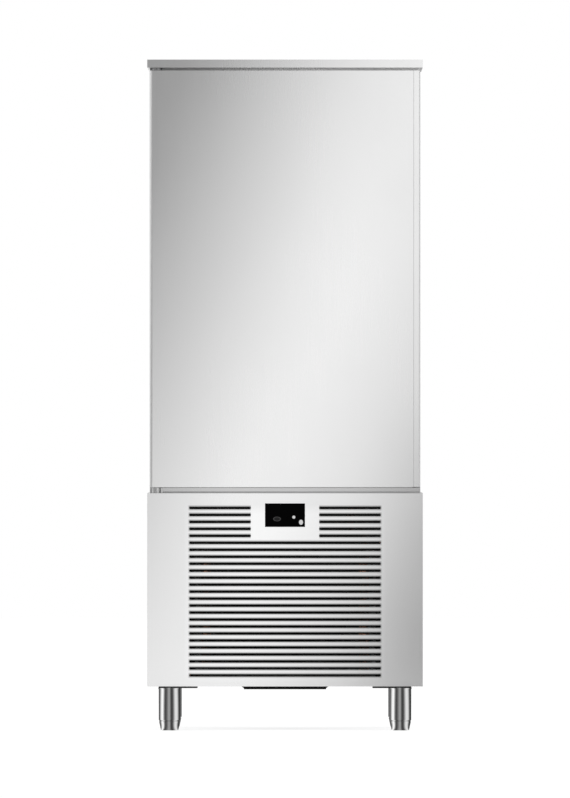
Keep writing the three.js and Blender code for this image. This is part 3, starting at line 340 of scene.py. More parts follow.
# Either value may be a number
def combine(operation, first, second):
    tree = (second if isinstance(first, (int, float)) else first).id_data
    node = addNode(tree, "ShaderNodeMath", operation=operation)
    for socket, value in zip(node.inputs, (first, second)):
        if isinstance(value, (int, float)):
            socket.default_value = value
        else:
            link(value, socket)
    return node.outputs["Value"]


def times(first, second):
    return combine("MULTIPLY", first, second)


# Goes from the first colour, or what makes it, to the second
def mixed(factor, first, second, blend="MIX"):
    mix = addNode(factor.id_data, "ShaderNodeMix", data_type="RGBA", blend_type=blend)
    link(factor, mix.inputs["Factor"])
    if isinstance(first, tuple):
        mix.inputs["A"].default_value = (*first, 1)
    else:
        link(first, mix.inputs["A"])
    mix.inputs["B"].default_value = (*second, 1)
    return mix.outputs["Result"]


def bumped(shader, height):
    bump = addNode(height.id_data, "ShaderNodeBump")
    setInputs(bump, Strength=1, Distance=1)
    link(height, bump.inputs["Height"])
    link(bump.outputs["Normal"], shader.inputs["Normal"])


# Metal sheet: fine grain along one way, hand marks in its gloss and a little waviness
sheetLook = {"dark": 0.98, "waves": (5, 5, 3.5), "marks": (2.2, 2.2, 1.4), "grainGloss": 0.015}


def metalFinish(name, tone, roughness, grain, grainDepth=0.000001, wave=0.00002, marks=0.04):
    material, tree, shader = newFinish(name)
    lines, waves = noise(tree, grain, 2), noise(tree, sheetLook["waves"], 1)
    dark = tuple(c * sheetLook["dark"] for c in tone)
    link(mixed(lines, dark, tone), shader.inputs["Base Color"])
    handMarks = between(noise(tree, sheetLook["marks"], 4), roughness - marks, roughness + marks)
    grainMarks = between(lines, -sheetLook["grainGloss"], sheetLook["grainGloss"])
    link(combine("ADD", handMarks, grainMarks), shader.inputs["Roughness"])
    setInputs(shader, Metallic=1)
    bumped(shader, combine("ADD", times(lines, grainDepth), times(waves, wave)))
    return material


# One inside a rectangle of the panel, nought outside, with an edge this soft
def fieldMask(x, z, halfWidth, low, high, soft):
    across = combine("ABSOLUTE", x, 0)
    above = between(z, 0, 1, low - soft, low + soft)
    below = between(z, 1, 0, high - soft, high + soft)
    within = between(across, 1, 0, halfWidth - soft, halfWidth + soft)
    return times(within, times(above, below))


# Steel of the louvred panel with painted light: a painted highlight a little brighter between the louvres,
# painted shade round each slot, and painted shade, near black, on the rolled fins in the slots
louvreField = {
    "halfWidth": 0.2765, "low": 0.153, "high": 0.6445, "soft": 0.0005, "face": -0.4,
    "firstRow": 0.639, "pitch": 0.02,
    "polish": 0.08, "highlightDrop": 0.01, "highlightSoft": 0.014,
    "edgeShade": 0.5, "shadeFrom": 0.0042, "shadeTo": 0.009, "shadeReach": 0.004, "shadeSoft": 0.002,
    "blankHalf": 0.098, "blankLow": 0.549, "blankRise": 0.02, "blankSoft": 0.001,
    "slotShade": 0.07, "slotShadeFrom": 0.00002, "slotShadeFull": 0.00012,
}


def louvreFinish(name):
    look = louvreField
    half, low, high, face = (look[key] for key in ("halfWidth", "low", "high", "face"))
    material = metalFinish(name, *steelLook)
    tree, shader, colour = colourOf(material)
    x, y, z = axes(tree)
    # Painted highlight: the strips between the louvres made a little brighter
    strips = fieldMask(x, z, half, low, high - look["highlightDrop"], look["highlightSoft"])
    colour = mixed(times(strips, look["polish"]), colour, (1, 1, 1), "ADD")
    # Painted shade round each slot: the steel darkened near its pressed edges, but not in the blank round
    # the controller
    away = combine("PINGPONG", combine("SUBTRACT", z, look["firstRow"]), look["pitch"] / 2)
    reach = look["shadeReach"]
    paintedShade = times(
        between(away, look["edgeShade"], 0, look["shadeFrom"], look["shadeTo"]),
        fieldMask(x, z, half, low - reach, high + reach, look["shadeSoft"]),
    )
    blank = fieldMask(
        x, z, look["blankHalf"], look["blankLow"], high + look["blankRise"], look["blankSoft"]
    )
    paintedShade = times(paintedShade, combine("SUBTRACT", 1, blank))
    colour = mixed(paintedShade, colour, (0, 0, 0))
    # Painted shade inside the slots: the rolled fins behind the panel's face made near black
    slots = fieldMask(x, z, half, low, high, look["soft"])
    inside = between(y, 0, 1, face + look["slotShadeFrom"], face + look["slotShadeFull"])
    colour = mixed(times(slots, inside), colour, (look["slotShade"],) * 3)
    link(colour, shader.inputs["Base Color"])
    return material


# Plastic or paint: cloudy in tone and gloss, with a fine grain
cloudLook = {"size": (14, 14, 14), "gloss": 0.05}


def plasticFinish(name, dark, light, roughness, specular=0.5, grainSize=900, grainDepth=0.00002):
    material, tree, shader = newFinish(name)
    clouds, spread = noise(tree, cloudLook["size"], 4), cloudLook["gloss"]
    link(mixed(clouds, dark, light), shader.inputs["Base Color"])
    link(between(clouds, roughness - spread, roughness + spread), shader.inputs["Roughness"])
    setInputs(shader, **{"Specular IOR Level": specular})
    bumped(shader, times(noise(tree, (grainSize,) * 3, 1), grainDepth))
    return material


# Zinc: crystals of several tones, matt
zincLook = {
    "crystals": (90, 90, 60), "dark": (0.42, 0.43, 0.44), "light": (0.56, 0.57, 0.58), "gloss": (0.38, 0.52),
    "depth": 0.00001,
}


def zincFinish(name):
    material, tree, shader = newFinish(name)
    cells = addNode(tree, "ShaderNodeTexVoronoi", feature="F1")
    setInputs(cells, Scale=1)
    link(pattern(tree, zincLook["crystals"]), cells.inputs["Vector"])
    tone = addNode(tree, "ShaderNodeSeparateColor")
    link(cells.outputs["Color"], tone.inputs["Color"])
    crystals = tone.outputs["Red"]
    link(mixed(crystals, zincLook["dark"], zincLook["light"]), shader.inputs["Base Color"])
    link(between(tone.outputs["Green"], *zincLook["gloss"], 0, 1), shader.inputs["Roughness"])
    setInputs(shader, Metallic=1)
    bumped(shader, times(crystals, zincLook["depth"]))
    return material


# Gloss panel: near black, with marks printed behind it: place, half size, how far hollow, tone
controlMarks = [
    ((-0.0229, 0.6071), (0.0112, 0.0066), 0.3, 0.08),  # dial ring
    ((0.0252, 0.6123), (0.0045, 0.0045), 0, 0.78),
    ((0.0459, 0.5977), (0.006, 0.0074), 0, 0.78),
]


def glossFinish(name):
    material = plasticFinish(name, (0.0003,) * 3, (0.0006,) * 3, 0.08, 0.015, 20, 0)
    tree, shader, colour = colourOf(material)
    for (x, z), (wide, high), ring, tone in controlMarks:
        away = addNode(tree, "ShaderNodeVectorMath", operation="LENGTH")
        link(pattern(tree, (1 / wide, 0, 1 / high), (-x / wide, 0, -z / high)), away.inputs[0])
        distance = away.outputs["Value"]
        inked = between(distance, 1, 0, 0.88, 1.06)
        if ring:
            inked = times(inked, between(distance, 0.25, 1, 1 - ring, 1 - ring / 2))
        colour = mixed(inked, colour, (tone,) * 3)
    link(colour, shader.inputs["Base Color"])
    return material


foamLook = {
    "cells": (260, 260, 260), "dark": (0.62, 0.52, 0.31), "light": (0.78, 0.69, 0.47), "gloss": (0.75, 0.95),
    "depth": 0.0006,
}


def foamFinish(name):
    material, tree, shader = newFinish(name)
    cells = noise(tree, foamLook["cells"], 3)
    link(mixed(cells, foamLook["dark"], foamLook["light"]), shader.inputs["Base Color"])
    link(between(cells, *foamLook["gloss"]), shader.inputs["Roughness"])
    bumped(shader, times(cells, foamLook["depth"]))
    return material


# Metals: slot, material, tone, roughness, grain, and then depths of grain and waves and the hand marks
steelLook = ((0.77, 0.77, 0.77), 0.3, (700, 700, 6))
metals = {
    "satinSteel": ("brushed_steel", "satin_steel", *steelLook),
    # Hinge steel is brushed steel darkened: painted shade for the top hinge bracket in the gap under the
    # cover
    "hingeSteel": ("brushed_steel", "hinge_steel", (0.33, 0.33, 0.335), 0.34, (40, 400, 400)),
    # Sill steel is the satin steel darkened: painted shade for the sill set back under the door, also on its
    # bead, stop end and the lower hinge bracket
    "sillSteel": ("brushed_steel", "sill_steel", (0.55, 0.55, 0.55), 0.36, (6, 700, 700)),
    "linerSteel": (
        "liner_steel", "liner_steel", (0.66, 0.66, 0.665), 0.34, (500, 500, 500), 0.000004, 0.00004,
    ),
    "polishedSteel": (
        "polished_steel", "polished_steel", (0.74, 0.74, 0.74), 0.12, (60, 60, 500),
        0.000002, 0.00001, 0.02,
    ),
    "finAluminium": ("aluminium", "fin_aluminium", (0.78, 0.79, 0.8), 0.36, (300, 300, 40), 0.000005),
    # Condenser fins: the aluminium darkened, painted shade for the compartment seen through the front slots
    "dullFins": ("aluminium", "dull_fins", (0.2, 0.2, 0.205), 0.5, (300, 300, 40), 0.000005),
    "copperTube": ("copper", "copper_tube", (0.72, 0.36, 0.22), 0.3, (60, 60, 60), 0.00001, 0.00002, 0.08),
}

# Plastics and paint: slot, material, dark and light tone, roughness, and then gloss, grain and its depth
plastics = {
    "blackPlastic": ("black_plastic", "black_plastic", (0.018, 0.018, 0.019), (0.03, 0.03, 0.031), 0.45),
    # Pan plastic is black plastic made darker still with painted shade, for the pan under the base, also on
    # its rim
    "panPlastic": ("black_plastic", "pan_plastic", (0.004,) * 3, (0.007,) * 3, 0.6, 0.06),
    "greyPlastic": ("grey_plastic", "grey_plastic", (0.2, 0.2, 0.205), (0.26, 0.26, 0.265), 0.5),
    "sealRubber": ("seal", "seal_rubber", (0.1, 0.1, 0.105), (0.14, 0.14, 0.145), 0.62, 0.35, 1400),
    "blackPaint": (
        "black_steel", "black_paint", (0.012, 0.012, 0.013), (0.022, 0.022, 0.023), 0.35, 0.5, 500, 0.00005,
    ),
}
finishes = {}


def addFinish(name, slot, material):
    finishes[name] = {"slot": slot, "material": material}


print("finishes")
for finishName, (slotName, *settings) in metals.items():
    addFinish(finishName, slotName, metalFinish(*settings))
for finishName, (slotName, *settings) in plastics.items():
    addFinish(finishName, slotName, plasticFinish(*settings))
addFinish("louvreSteel", "brushed_steel", louvreFinish("louvre_steel_painted_light"))
addFinish("zinc", "galvanised", zincFinish("zinc_sheet"))
addFinish("foam", "foam", foamFinish("foam_core"))
addFinish("blackGlass", "glass", glossFinish("black_glass"))


# The sheets and folded parts keep their own shape: welded, edges softened, round stretches smoothed

def smoothingGroup(angle):
    group = bpy.data.node_groups.new("smooth_faces", "GeometryNodeTree")
    for way in ("INPUT", "OUTPUT"):
        group.interface.new_socket("Geometry", in_out=way, socket_type="NodeSocketGeometry")
    start, end = addNode(group, "NodeGroupInput"), addNode(group, "NodeGroupOutput")
    faces = addNode(group, "GeometryNodeSetShadeSmooth")
    edges = addNode(group, "GeometryNodeSetShadeSmooth", domain="EDGE")
    edges.inputs["Shade Smooth"].default_value = False
    bend = addNode(group, "GeometryNodeInputMeshEdgeAngle")
    sharp = addNode(group, "FunctionNodeCompare", data_type="FLOAT", operation="GREATER_THAN")
    sharp.inputs["B"].default_value = math.radians(angle)
    link(start.outputs[0], faces.inputs["Geometry"])
    link(faces.outputs[0], edges.inputs["Geometry"])
    link(bend.outputs["Unsigned Angle"], sharp.inputs["A"])
    link(sharp.outputs["Result"], edges.inputs["Selection"])
    link(edges.outputs[0], end.inputs[0])
    return group


# For each finish its nodes, and how far each one's edges are softened, in millimetres
cadFinishes = {
    "satinSteel": {
        "outer_shell": 0.6, "top_cover": 0.7, "door_skin": 0.4, "door_handle": 0.5,
        "side_panel_left": 0.6, "side_panel_right": 0.6,
    },
    # The darkened sill steel, painted shade
    "sillSteel": {"door_sill": 0.5, "hinge_bracket_bottom": 0.5},
    "hingeSteel": {"hinge_bracket_top": 0.5},
    "louvreSteel": {"front_panel": 0.12},
    "linerSteel": {
        "inner_liner": 0.4, "door_liner": 0.3, "rack_left": 0.3, "rack_right": 0.3, "fan_panel": 0.3,
    },
    "polishedSteel": {
        "fan_guard_1": 0.3, "fan_guard_2": 0.3,
        **{f"{part}_{i}": 0.4 for part in ("leg", "foot") for i in range(1, 5)},
    },
    "zinc": {
        "back_panel": 0, "coil_bracket_left": 0.3, "coil_bracket_right": 0.3, "base_plate": 0.4,
        "deck_plate": 0.4, "rear_grille": 0.3, "fan_shroud": 0.3,
    },
    "finAluminium": {"evaporator": 0, "condenser": 0},
    "copperTube": {"suction_pipe": 0, "discharge_pipe": 0, "condenser_pipe": 0, "liquid_pipe": 0},
    "foam": {"insulation": 0, "door_foam": 0},
    "blackPlastic": {
        "fan_rotor_1": 0.3, "fan_rotor_2": 0.3, "condenser_fan_rotor": 0.3, "controller_housing": 0.5,
        "cable_gland": 0.3,
    },
    "panPlastic": {"condensate_pan": 0.6},
    "greyPlastic": {
        "hinge_bush_bottom": 0.2, "hinge_bush_top": 0.2, "drain_pipe": 0.3, "electrical_box": 1.2,
    },
    "sealRubber": {"door_gasket": 0.4},
    "blackGlass": {"controller_glass": 0.3},
    "blackPaint": {
        "fan_motor_1": 0.3, "fan_motor_2": 0.3, "condenser_fan_motor": 0.3, "compressor": 0.5,
        "receiver": 0.5,
    },
}

dressing = {"weld": 0.00001, "flat": 0.5, "edge": 40, "smooth": 34}  # angles in degrees

# Faces with bent outlines: dissolving their triangles first would fill them wrongly
keptTriangles = ("outer_shell", "top_cover", "rear_grille")


def dressNode(name, material, softness, smoothing):
    node = nodes[name]
    for materialSlot in node.material_slots:
        materialSlot.link = "OBJECT"
        materialSlot.material = material
    addModifier(node, "WELD", merge_threshold=dressing["weld"])
    if softness and name not in keptTriangles:
        addModifier(node, "DECIMATE", decimate_type="DISSOLVE", angle_limit=math.radians(dressing["flat"]))
    if softness:
        addModifier(
            node, "BEVEL", width=softness / 1000, segments=2, limit_method="ANGLE",
            angle_limit=math.radians(dressing["edge"]), use_clamp_overlap=True,
        )
    addModifier(node, "NODES", node_group=smoothing)
    if softness:
        addModifier(node, "WEIGHTED_NORMAL", weight=100, keep_sharp=True)


print("sheets and folded parts")
smoothFaces = smoothingGroup(dressing["smooth"])
for finishName, softnesses in cadFinishes.items():
    for nodeName, softEdge in softnesses.items():
        dressNode(nodeName, finishes[finishName]["material"], softEdge, smoothFaces)


# Legs: a sleeve under its plate, and a tapered foot that screws out of it

legShape = {
    "sides": 64, "bore": 0.0285, "radius": 0.0315, "rim": 0.0015, "collar": 0.0335, "collarRise": 0.003,
    "plate": 0.005, "plateSoftness": 0.0006,
}
footShape = {
    "nose": [
        (0.0235, 0), (0.025, 0.0012), (0.0298, 0.0225), (0.03, 0.0245), (0.03, 0.0265), (0.0288, 0.0277),
        (0.009, 0.0277), (0.008, 0.03),
    ],
    "stem": 0.008, "stemRim": 0.001,
}


def makeLeg(i):
    legLow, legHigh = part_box(f"leg_{i}")
    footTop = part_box(f"foot_{i}")[1].z
    axis = centreOf(f"foot_{i}")
    radius, rim, collar = legShape["radius"], legShape["rim"], legShape["collar"]
    plateLow = legHigh.z - legShape["plate"]
    sleeve = turned(
        [
            (legShape["bore"], legLow.z), (radius - rim, legLow.z), (radius, legLow.z + rim),
            (radius, plateLow - legShape["collarRise"]), (collar, plateLow), (collar, plateLow + 0.001),
        ],
        (axis.x, axis.y, 0), sides=legShape["sides"],
    )
    plate = block((legLow.x, legLow.y, plateLow), legHigh, legShape["plateSoftness"])
    standIn(sleeve, f"leg_tube_{i}", "polishedSteel", f"leg_{i}")
    standBy(plate, f"leg_plate_{i}", "blackPaint", f"leg_{i}")
    stem, stemRim = footShape["stem"], footShape["stemRim"]
    foot = turned(
        [*footShape["nose"], (stem, footTop - stemRim), (stem - stemRim, footTop)],
        (axis.x, axis.y, 0), sides=legShape["sides"],
    )
    standIn(foot, f"foot_nose_{i}", "polishedSteel", f"foot_{i}")


print("legs")
for legNumber in range(1, 5):
    makeLeg(legNumber)


# Fans: a cambered blade copied round a moulded hub, a motor on three arms, and a wire guard

chamberFans = {1: 1.0295, 2: 1.5525}  # number and height
fans = {
    **{
        f"fan_rotor_{i}": {"at": (0, 0.199, z), "hub": 0.045, "tip": 0.163, "depth": 0.024}
        for i, z in chamberFans.items()
    },
    "condenser_fan_rotor": {"at": (0, -0.2427, 0.3505), "hub": 0.055, "tip": 0.178, "depth": 0.03},
}
bladeShape = {
    "count": 5, "pitch": 19, "twist": 16, "camber": 14, "thickness": 0.0022, "chord": 0.62,
    "root": 0.4, "rootWidth": 0.5, "rootShift": -0.012,
}
motors = {
    **{
        f"fan_motor_{i}": {
            "at": (0, 0.214, z), "radius": 0.045, "length": 0.03, "reach": 0.1765, "front": 0.1818,
        }
        for i, z in chamberFans.items()
    },
    "condenser_fan_motor": {
        "at": (0, -0.2227, 0.3505), "radius": 0.05, "length": 0.07, "reach": 0.1915, "front": -0.2614,
    },
}
motorShape = {
    "ribPitch": 0.004, "ribDepth": 0.0018, "armHalf": 0.006, "armThickness": 0.0025,
    "stud": [(0.004, -0.0028), (0.0045, -0.0022), (0.0045, 0)],
}
guardShape = {
    "y": 0.17, "inner": 0.0305, "outer": 0.1715, "rings": 12, "sides": 64, "wire": 0.0014, "spokes": 8,
    "footBend": [(-0.012, 0), (0, 0), (0.003, 0.0016), (0.005, 0.0056)],  # past the spokes, and back
    "clip": 0.179, "panelFace": 0.1797,
    "clipShape": [
        (0.003, -0.0042), (0.0042, -0.0036), (0.0046, -0.0024), (0.0046, -0.0014), (0.0068, -0.0012),
        (0.007, 0),
    ],
}


def makeBlade(look):
    inner, outer = look["hub"] - 0.003, look["tip"] - 0.005
    deselectAll()
    bpy.ops.mesh.primitive_grid_add(x_subdivisions=4, y_subdivisions=4, size=1)
    blade = bpy.context.object
    blade.scale = (outer - inner, look["tip"] * bladeShape["chord"], 1)
    openUp(settle(blade))
    choose(blade, "verts", lambda vertex: vertex.co.x < -bladeShape["root"] * (outer - inner))
    bpy.ops.transform.resize(value=(1, bladeShape["rootWidth"], 1), center_override=(0, 0, 0))
    bpy.ops.transform.translate(value=(0, bladeShape["rootShift"], 0))
    closeUp()
    applyModifier(blade, "SUBSURF", levels=2, render_levels=2)
    for method, turn in (("BEND", "camber"), ("TWIST", "twist")):
        applyModifier(
            blade, "SIMPLE_DEFORM", deform_method=method, deform_axis="X",
            angle=math.radians(bladeShape[turn]),
        )
    blade.rotation_euler = (math.radians(bladeShape["pitch"]), 0, 0)
    blade.location = ((inner + outer) / 2, 0, 0)
    settle(blade)
    applyModifier(blade, "SOLIDIFY", thickness=bladeShape["thickness"], offset=0)
    return recalculate(blade)


def makeRotor(name, look):
    half, hub, count = look["depth"] / 2, look["hub"], bladeShape["count"]
    cup = turned(
        [
            (0.006, 0.0005 - half), (0.0085, 0.0005 - half), (0.009, 0.003 - half),
            (hub * 0.62, 0.003 - half), (hub * 0.67, -half), (hub * 0.9, 0.0005 - half),
            (hub * 0.98, 0.003 - half), (hub, 0.006 - half), (hub, half), (hub - 0.003, half),
            (hub - 0.003, 0.008 - half), (0.009, 0.008 - half), (0.009, half - 0.002),
            (0.0054, half - 0.002), (0.0054, 0.006 - half),
        ],
        (0, 0, 0), sides=60,
    )
    turns = [Matrix.Rotation(2 * math.pi * (i + 0.25) / count, 4, "Z") for i in range(count)]
    rotor = joined([cup, *copiesOf(makeBlade(look), turns)])
    rotor.rotation_euler = (-math.pi / 2, 0, 0)
    rotor.location = look["at"]
    smoothed(settle(rotor), 40)
    standIn(rotor, name.replace("rotor", "wheel"), "blackPlastic", name)


def makeMotor(name, look):
    y, radius, length, reach = look["at"][1], look["radius"], look["length"], look["reach"]
    pitch, valley = motorShape["ribPitch"], radius - motorShape["ribDepth"]
    ribs = [
        (across, pitch * i + along)
        for i in range(2, int(length / pitch) - 2)
        for across, along in ((radius, 0), (radius, 0.0022), (valley, 0.0026), (valley, 0.0036))
    ]
    cup = turned(
        [
            (0.0045, -0.0195), (0.005, -0.019), (0.005, -0.002), (0.014, -0.002), (0.0145, 0),
            (radius * 0.9, 0), (radius, 0.003), (radius, 0.0065), *ribs, (radius, length - 0.006),
            (radius, length - 0.003), (radius * 0.94, length), (0.018, length), (0.016, length - 0.0015),
        ],
        look["at"], "Y", sides=56,
    )
    half, thick = motorShape["armHalf"], motorShape["armThickness"]
    bracket = joined([
        block((radius * 0.5, 0.0002, -half), (reach, thick, half), 0.0006),
        block((reach - thick, look["front"] - y, -half), (reach, thick, half), 0.0006),
        turned(motorShape["stud"], (radius * 0.78, thick + 0.0025, 0), "Y", 6),
    ])
    seat = Matrix.Translation(look["at"])
    turns = [seat @ Matrix.Rotation(math.radians(turn), 4, "Y") for turn in (90, 210, 330)]
    motor = joined([cup, *copiesOf(bracket, turns)])
    standIn(smoothed(motor, 40), name + "_ribbed", "blackPaint", name)


def makeGuard(name, z):
    look, y, wireRadius = guardShape, guardShape["y"], guardShape["wire"]
    turns = [2 * math.pi * i / look["sides"] for i in range(look["sides"])]
    pieces = []
    for i in range(look["rings"]):
        radius = look["inner"] + (look["outer"] - look["inner"]) * i / (look["rings"] - 1)
        ring = [(radius * math.cos(turn), y, z + radius * math.sin(turn)) for turn in turns]
        pieces.append(wire(ring, wireRadius, closed=True, smoothness=1))
    start = Vector((0, y + 1.8 * wireRadius, z))
    for i in range(look["spokes"]):
        turn = 2 * math.pi * (i + 0.5) / look["spokes"]
        way = Vector((math.cos(turn), 0, math.sin(turn)))
        pieces.append(wire([start + way * look["inner"], start + way * look["outer"]], wireRadius))
        if i % 2:
            end = start + way * look["outer"]
            foot = [end + way * out + Vector((0, back, 0)) for out, back in look["footBend"]]
            pieces.append(wire(foot, wireRadius))
            clip = Vector((0, look["panelFace"], z)) + way * look["clip"]
            pieces.append(turned(look["clipShape"], clip, "Y", 24))
    standIn(joined(pieces), name + "_wires", "polishedSteel", name)


print("fans")
for fanName, fanLook in fans.items():
    makeRotor(fanName, fanLook)
for motorName, motorLook in motors.items():
    makeMotor(motorName, motorLook)
for fanNumber, fanHeight in chamberFans.items():
    makeGuard(f"fan_guard_{fanNumber}", fanHeight)


# Door seal: a base strip, folded bellows and a round-edged magnet lip all round the mouth

sealShape = {
    "mouth": (0.329, 0.551), "centre": (0, 0, 1.291),
    "middle": 0.02,  # the section is the same on both sides of this line
    "half": [
        (0.0145, -0.3297), (0.0145, -0.328), (0.008, -0.3272), (0.0065, -0.3262), (0.0095, -0.3246),
        (0.0095, -0.324), (0.0065, -0.3226), (0.0075, -0.322), (0.0135, -0.3212), (0.0147, -0.3202),
        (0.0147, -0.3192), (0.0138, -0.3184),
    ],
}


def makeSeal():
    middle, half = sealShape["middle"], sealShape["half"]
    inner = [(middle - out, height) for out, height in half]
    outer = [(middle + out, height) for out, height in half]
    seal = framed([inner[0], *outer, *reversed(inner[1:])], *sealShape["mouth"], sealShape["centre"])
    standIn(seal, "door_seal", "sealRubber", "door_gasket")


print("door seal")
makeSeal()


# Coils: thin fins between end sheets, and copper tubes with their return bends

coils = {
    "evaporator": {
        "half": 0.2097, "y": (0.258, 0.33), "z": (0.7705, 1.8115), "fin": 0.0055, "finSheet": 0.0003,
        "tubeRadius": 0.005, "tubePitch": 0.026, "finish": "finAluminium",
    },
    "condenser": {
        "half": 0.2197, "y": (-0.352, -0.292), "z": (0.1408, 0.559), "fin": 0.003, "finSheet": 0.0002,
        "tubeRadius": 0.0045, "tubePitch": 0.0225, "finish": "dullFins",
    },
}
coilShape = {"rows": 2, "endSheet": 0.0015, "margin": 0.003, "firstTube": 0.02, "lastTube": 0.01}


def makeFins(look):
    first, (front, back), (low, high) = coilShape["margin"] - look["half"], look["y"], look["z"]
    fin = block((first, front, low), (first + look["finSheet"], back, high), 0)
    count = int((2 * look["half"] - 2 * coilShape["margin"]) / look["fin"])
    return applyModifier(
        fin, "ARRAY", count=count, use_relative_offset=False, use_constant_offset=True,
        constant_offset_displace=(look["fin"], 0, 0),
    )


# One hairpin: two tubes through the fins, and the bend that joins them past the end sheet
def hairpin(look, y, low, side):
    pitch, half = look["tubePitch"], look["half"] + coilShape["endSheet"]
    bend = [
        (side * (half + 0.006 + pitch / 2 * math.sin(turn)), y, low + pitch / 2 * (1 - math.cos(turn)))
        for turn in (math.pi * i / 8 for i in range(9))
    ]
    near = side * half * 0.96
    return wire([(near, y, low), *bend, (near, y, low + pitch)], look["tubeRadius"], smoothness=1)


# The fins with an end sheet on each side, and the hairpins
def makeCoil(look):
    half, (front, back), (low, high), pitch = look["half"], look["y"], look["z"], look["tubePitch"]
    pieces = [makeFins(look)]
    for side in (-1, 1):
        inner, outer = sorted((side * half, side * (half + coilShape["endSheet"])))
        pieces.append(block((inner, front, low - 0.0005), (outer, back, high + 0.0005), 0.0003))
    rows = coilShape["rows"]
    count = int((high - low - coilShape["firstTube"] - coilShape["lastTube"]) / (2 * pitch))
    tubes = []
    for row in range(rows):
        y = front + (back - front) / rows * (row + 0.5)
        for i in range(count):
            start = low + coilShape["firstTube"] + (row % 2) * pitch / 2 + 2 * pitch * i
            tubes.append(hairpin(look, y, start, 1))
            if i < count - 1:
                tubes.append(hairpin(look, y, start + pitch, -1))
    return joined(pieces), tubes


def makeEvaporator():
    look = coils["evaporator"]
    body, tubes = makeCoil(look)
    low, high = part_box("evaporator")
    rails = [
        block((x0, 0.3271, low.z + 0.001), (x1, 0.3299, high.z - 0.001), 0.0004)
        for x0, x1 in ((low.x, -0.2112), (0.2112, high.x))
    ]
    standIn(joined([body, *rails]), "evaporator_fins", look["finish"], "evaporator")
    for x, radius, height in ((0.19, 0.009, 0.8), (-0.06, 0.005, 0.845)):
        tubes.append(wire([(x, 0.294, height), (x, 0.3335, height)], radius, smoothness=3))
    standIn(joined(tubes), "evaporator_tubes", "copperTube", "evaporator")


def makeCondenser():
    look = coils["condenser"]
    body, tubes = makeCoil(look)
    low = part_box("condenser")[0].z
    (front, back), half, top = look["y"], look["half"], look["z"][1]
    frames = [block((-0.26, front, top), (0.26, back, top + 0.0015), 0.0004)]
    for side in (-1, 1):
        for width, highZ in ((0.0015, top), (0.0145, low + 0.0015)):
            x0, x1 = sorted((side * half, side * (half + width)))
            frames.append(block((x0, front, low), (x1, back, highZ), 0.0003))
    standIn(joined([body, *frames]), "condenser_fins", look["finish"], "condenser")
    y = (front + back) / 2
    for start, end, radius, height in ((0.218, 0.275, 0.006, 0.5405), (-0.275, -0.218, 0.005, 0.1605)):
        tubes.append(wire([(start, y, height), (end, y, height)], radius, smoothness=3))
    standIn(joined(tubes), "condenser_tubes", "copperTube", "condenser")


print("coils")
makeEvaporator()
makeCondenser()


# Compressor: a two-part pot with its weld, on a foot plate with rubber mounts, and a terminal cover

compressorShape = {
    "at": (0.251, 0.2, 0.1288), "radius": 0.095, "height": 0.25, "seam": 0.55, "foot": 0.012,
    "plate": 0.107, "mount": 0.09, "terminals": (0.064, 0.07), "stub": 0.1995, "stubReach": 0.0147,
    # Parts of the radius, and heights over the foot, about the seam and under the top
    "base": [(0.3, 0), (0.6, 0), (0.8, 0.006), (0.9, 0.016), (0.945, 0.028), (0.96, 0.042)],
    "weld": [
        (0.96, -0.006), (0.972, -0.0045), (0.995, -0.0035), (1, -0.001), (0.99, 0.002), (0.955, 0.0045),
        (0.94, 0.006),
    ],
    "dome": [
        (0.93, -0.075), (0.915, -0.06), (0.87, -0.038), (0.78, -0.022), (0.62, -0.01), (0.42, -0.0035),
        (0.2, -0.0008), (0.02, -0.0002),
    ],
    "bail": [(0.004, -1, 0.02), (0.0182, -1, 0.03), (0.0186, 0, 0.034), (0.0182, 1, 0.03), (0.004, 1, 0.02)],
    "rubber": [
        (0.0095, 0), (0.011, 0.0008), (0.011, 0.004), (0.0085, 0.0055), (0.0085, 0.0068), (0.011, 0.0082),
        (0.011, 0.0116), (0.0095, 0.012),
    ],
}


def makeCompressor():
    look = compressorShape
    x, y, z = look["at"]
    r, foot = look["radius"], look["foot"]
    seam, top = foot + look["height"] * look["seam"], foot + look["height"]
    levels = (("base", foot), ("weld", seam), ("dome", top))
    profile = [(r * part, level + rise) for key, level in levels for part, rise in look[key]]
    pot = turned(profile, (x, y, z), sides=72, smooth=50)
    side = look["plate"]
    plate = block((x - side, y - side, z + foot), (x + side, y + side, z + foot + 0.004), 0.0015)
    depth, height = look["terminals"]
    level = z + seam + 0.01
    cover = block(
        (x - r - 0.018, y - depth / 2, level), (x - r * 0.86, y + depth / 2, level + height), 0.004, 3
    )
    wide = depth / 2 + 0.002
    bail = wire([(x - r - out, y + way * wide, z + seam + rise) for out, way, rise in look["bail"]], 0.0012)
    level = z + look["stub"]
    stubs = [
        wire([(near, y, level), (near, y + way * (r + look["stubReach"]), level)], radius, smoothness=3)
        for near, way, radius in ((0.19, 1, 0.009), (x + r * 0.6, -1, 0.006))
    ]
    standIn(smoothed(joined([pot, plate, bail]), 40), "compressor_pot", "blackPaint", "compressor")
    standBy(smoothed(cover, 40), "compressor_terminal_cover", "blackPlastic", "compressor")
    standBy(joined(stubs), "compressor_stubs", "copperTube", "compressor")
    out = look["mount"]
    mounts = [
        turned(look["rubber"], (x + sx * out, y + sy * out, z), sides=24)
        for sx, sy in ((-1, -1), (1, -1), (1, 1), (-1, 1))
    ]
    standBy(joined(mounts), "compressor_mounts", "sealRubber", "compressor")


# Liquid receiver: a welded tank on a ring foot

receiverShape = {
    "at": (-0.06, 0.26, 0.1288), "radius": 0.045, "height": 0.22, "end": 0.01, "inlet": 0.066,
    "pipe": 0.005, "neck": 0.008,
    # Parts of the radius, and depths into the tank from each end
    "dome": [(0.2, 0), (0.5, 0.0015), (0.8, 0.007), (0.95, 0.014), (1, 0.022)],
    "weld": [(1, -0.004), (1, -0.0035), (0.985, -0.002), (0.985, 0.002), (1, 0.0035)],
    "nut": [(0.0085, 0), (0.0095, 0.001), (0.0095, 0.0065), (0.0085, 0.0075)],
}


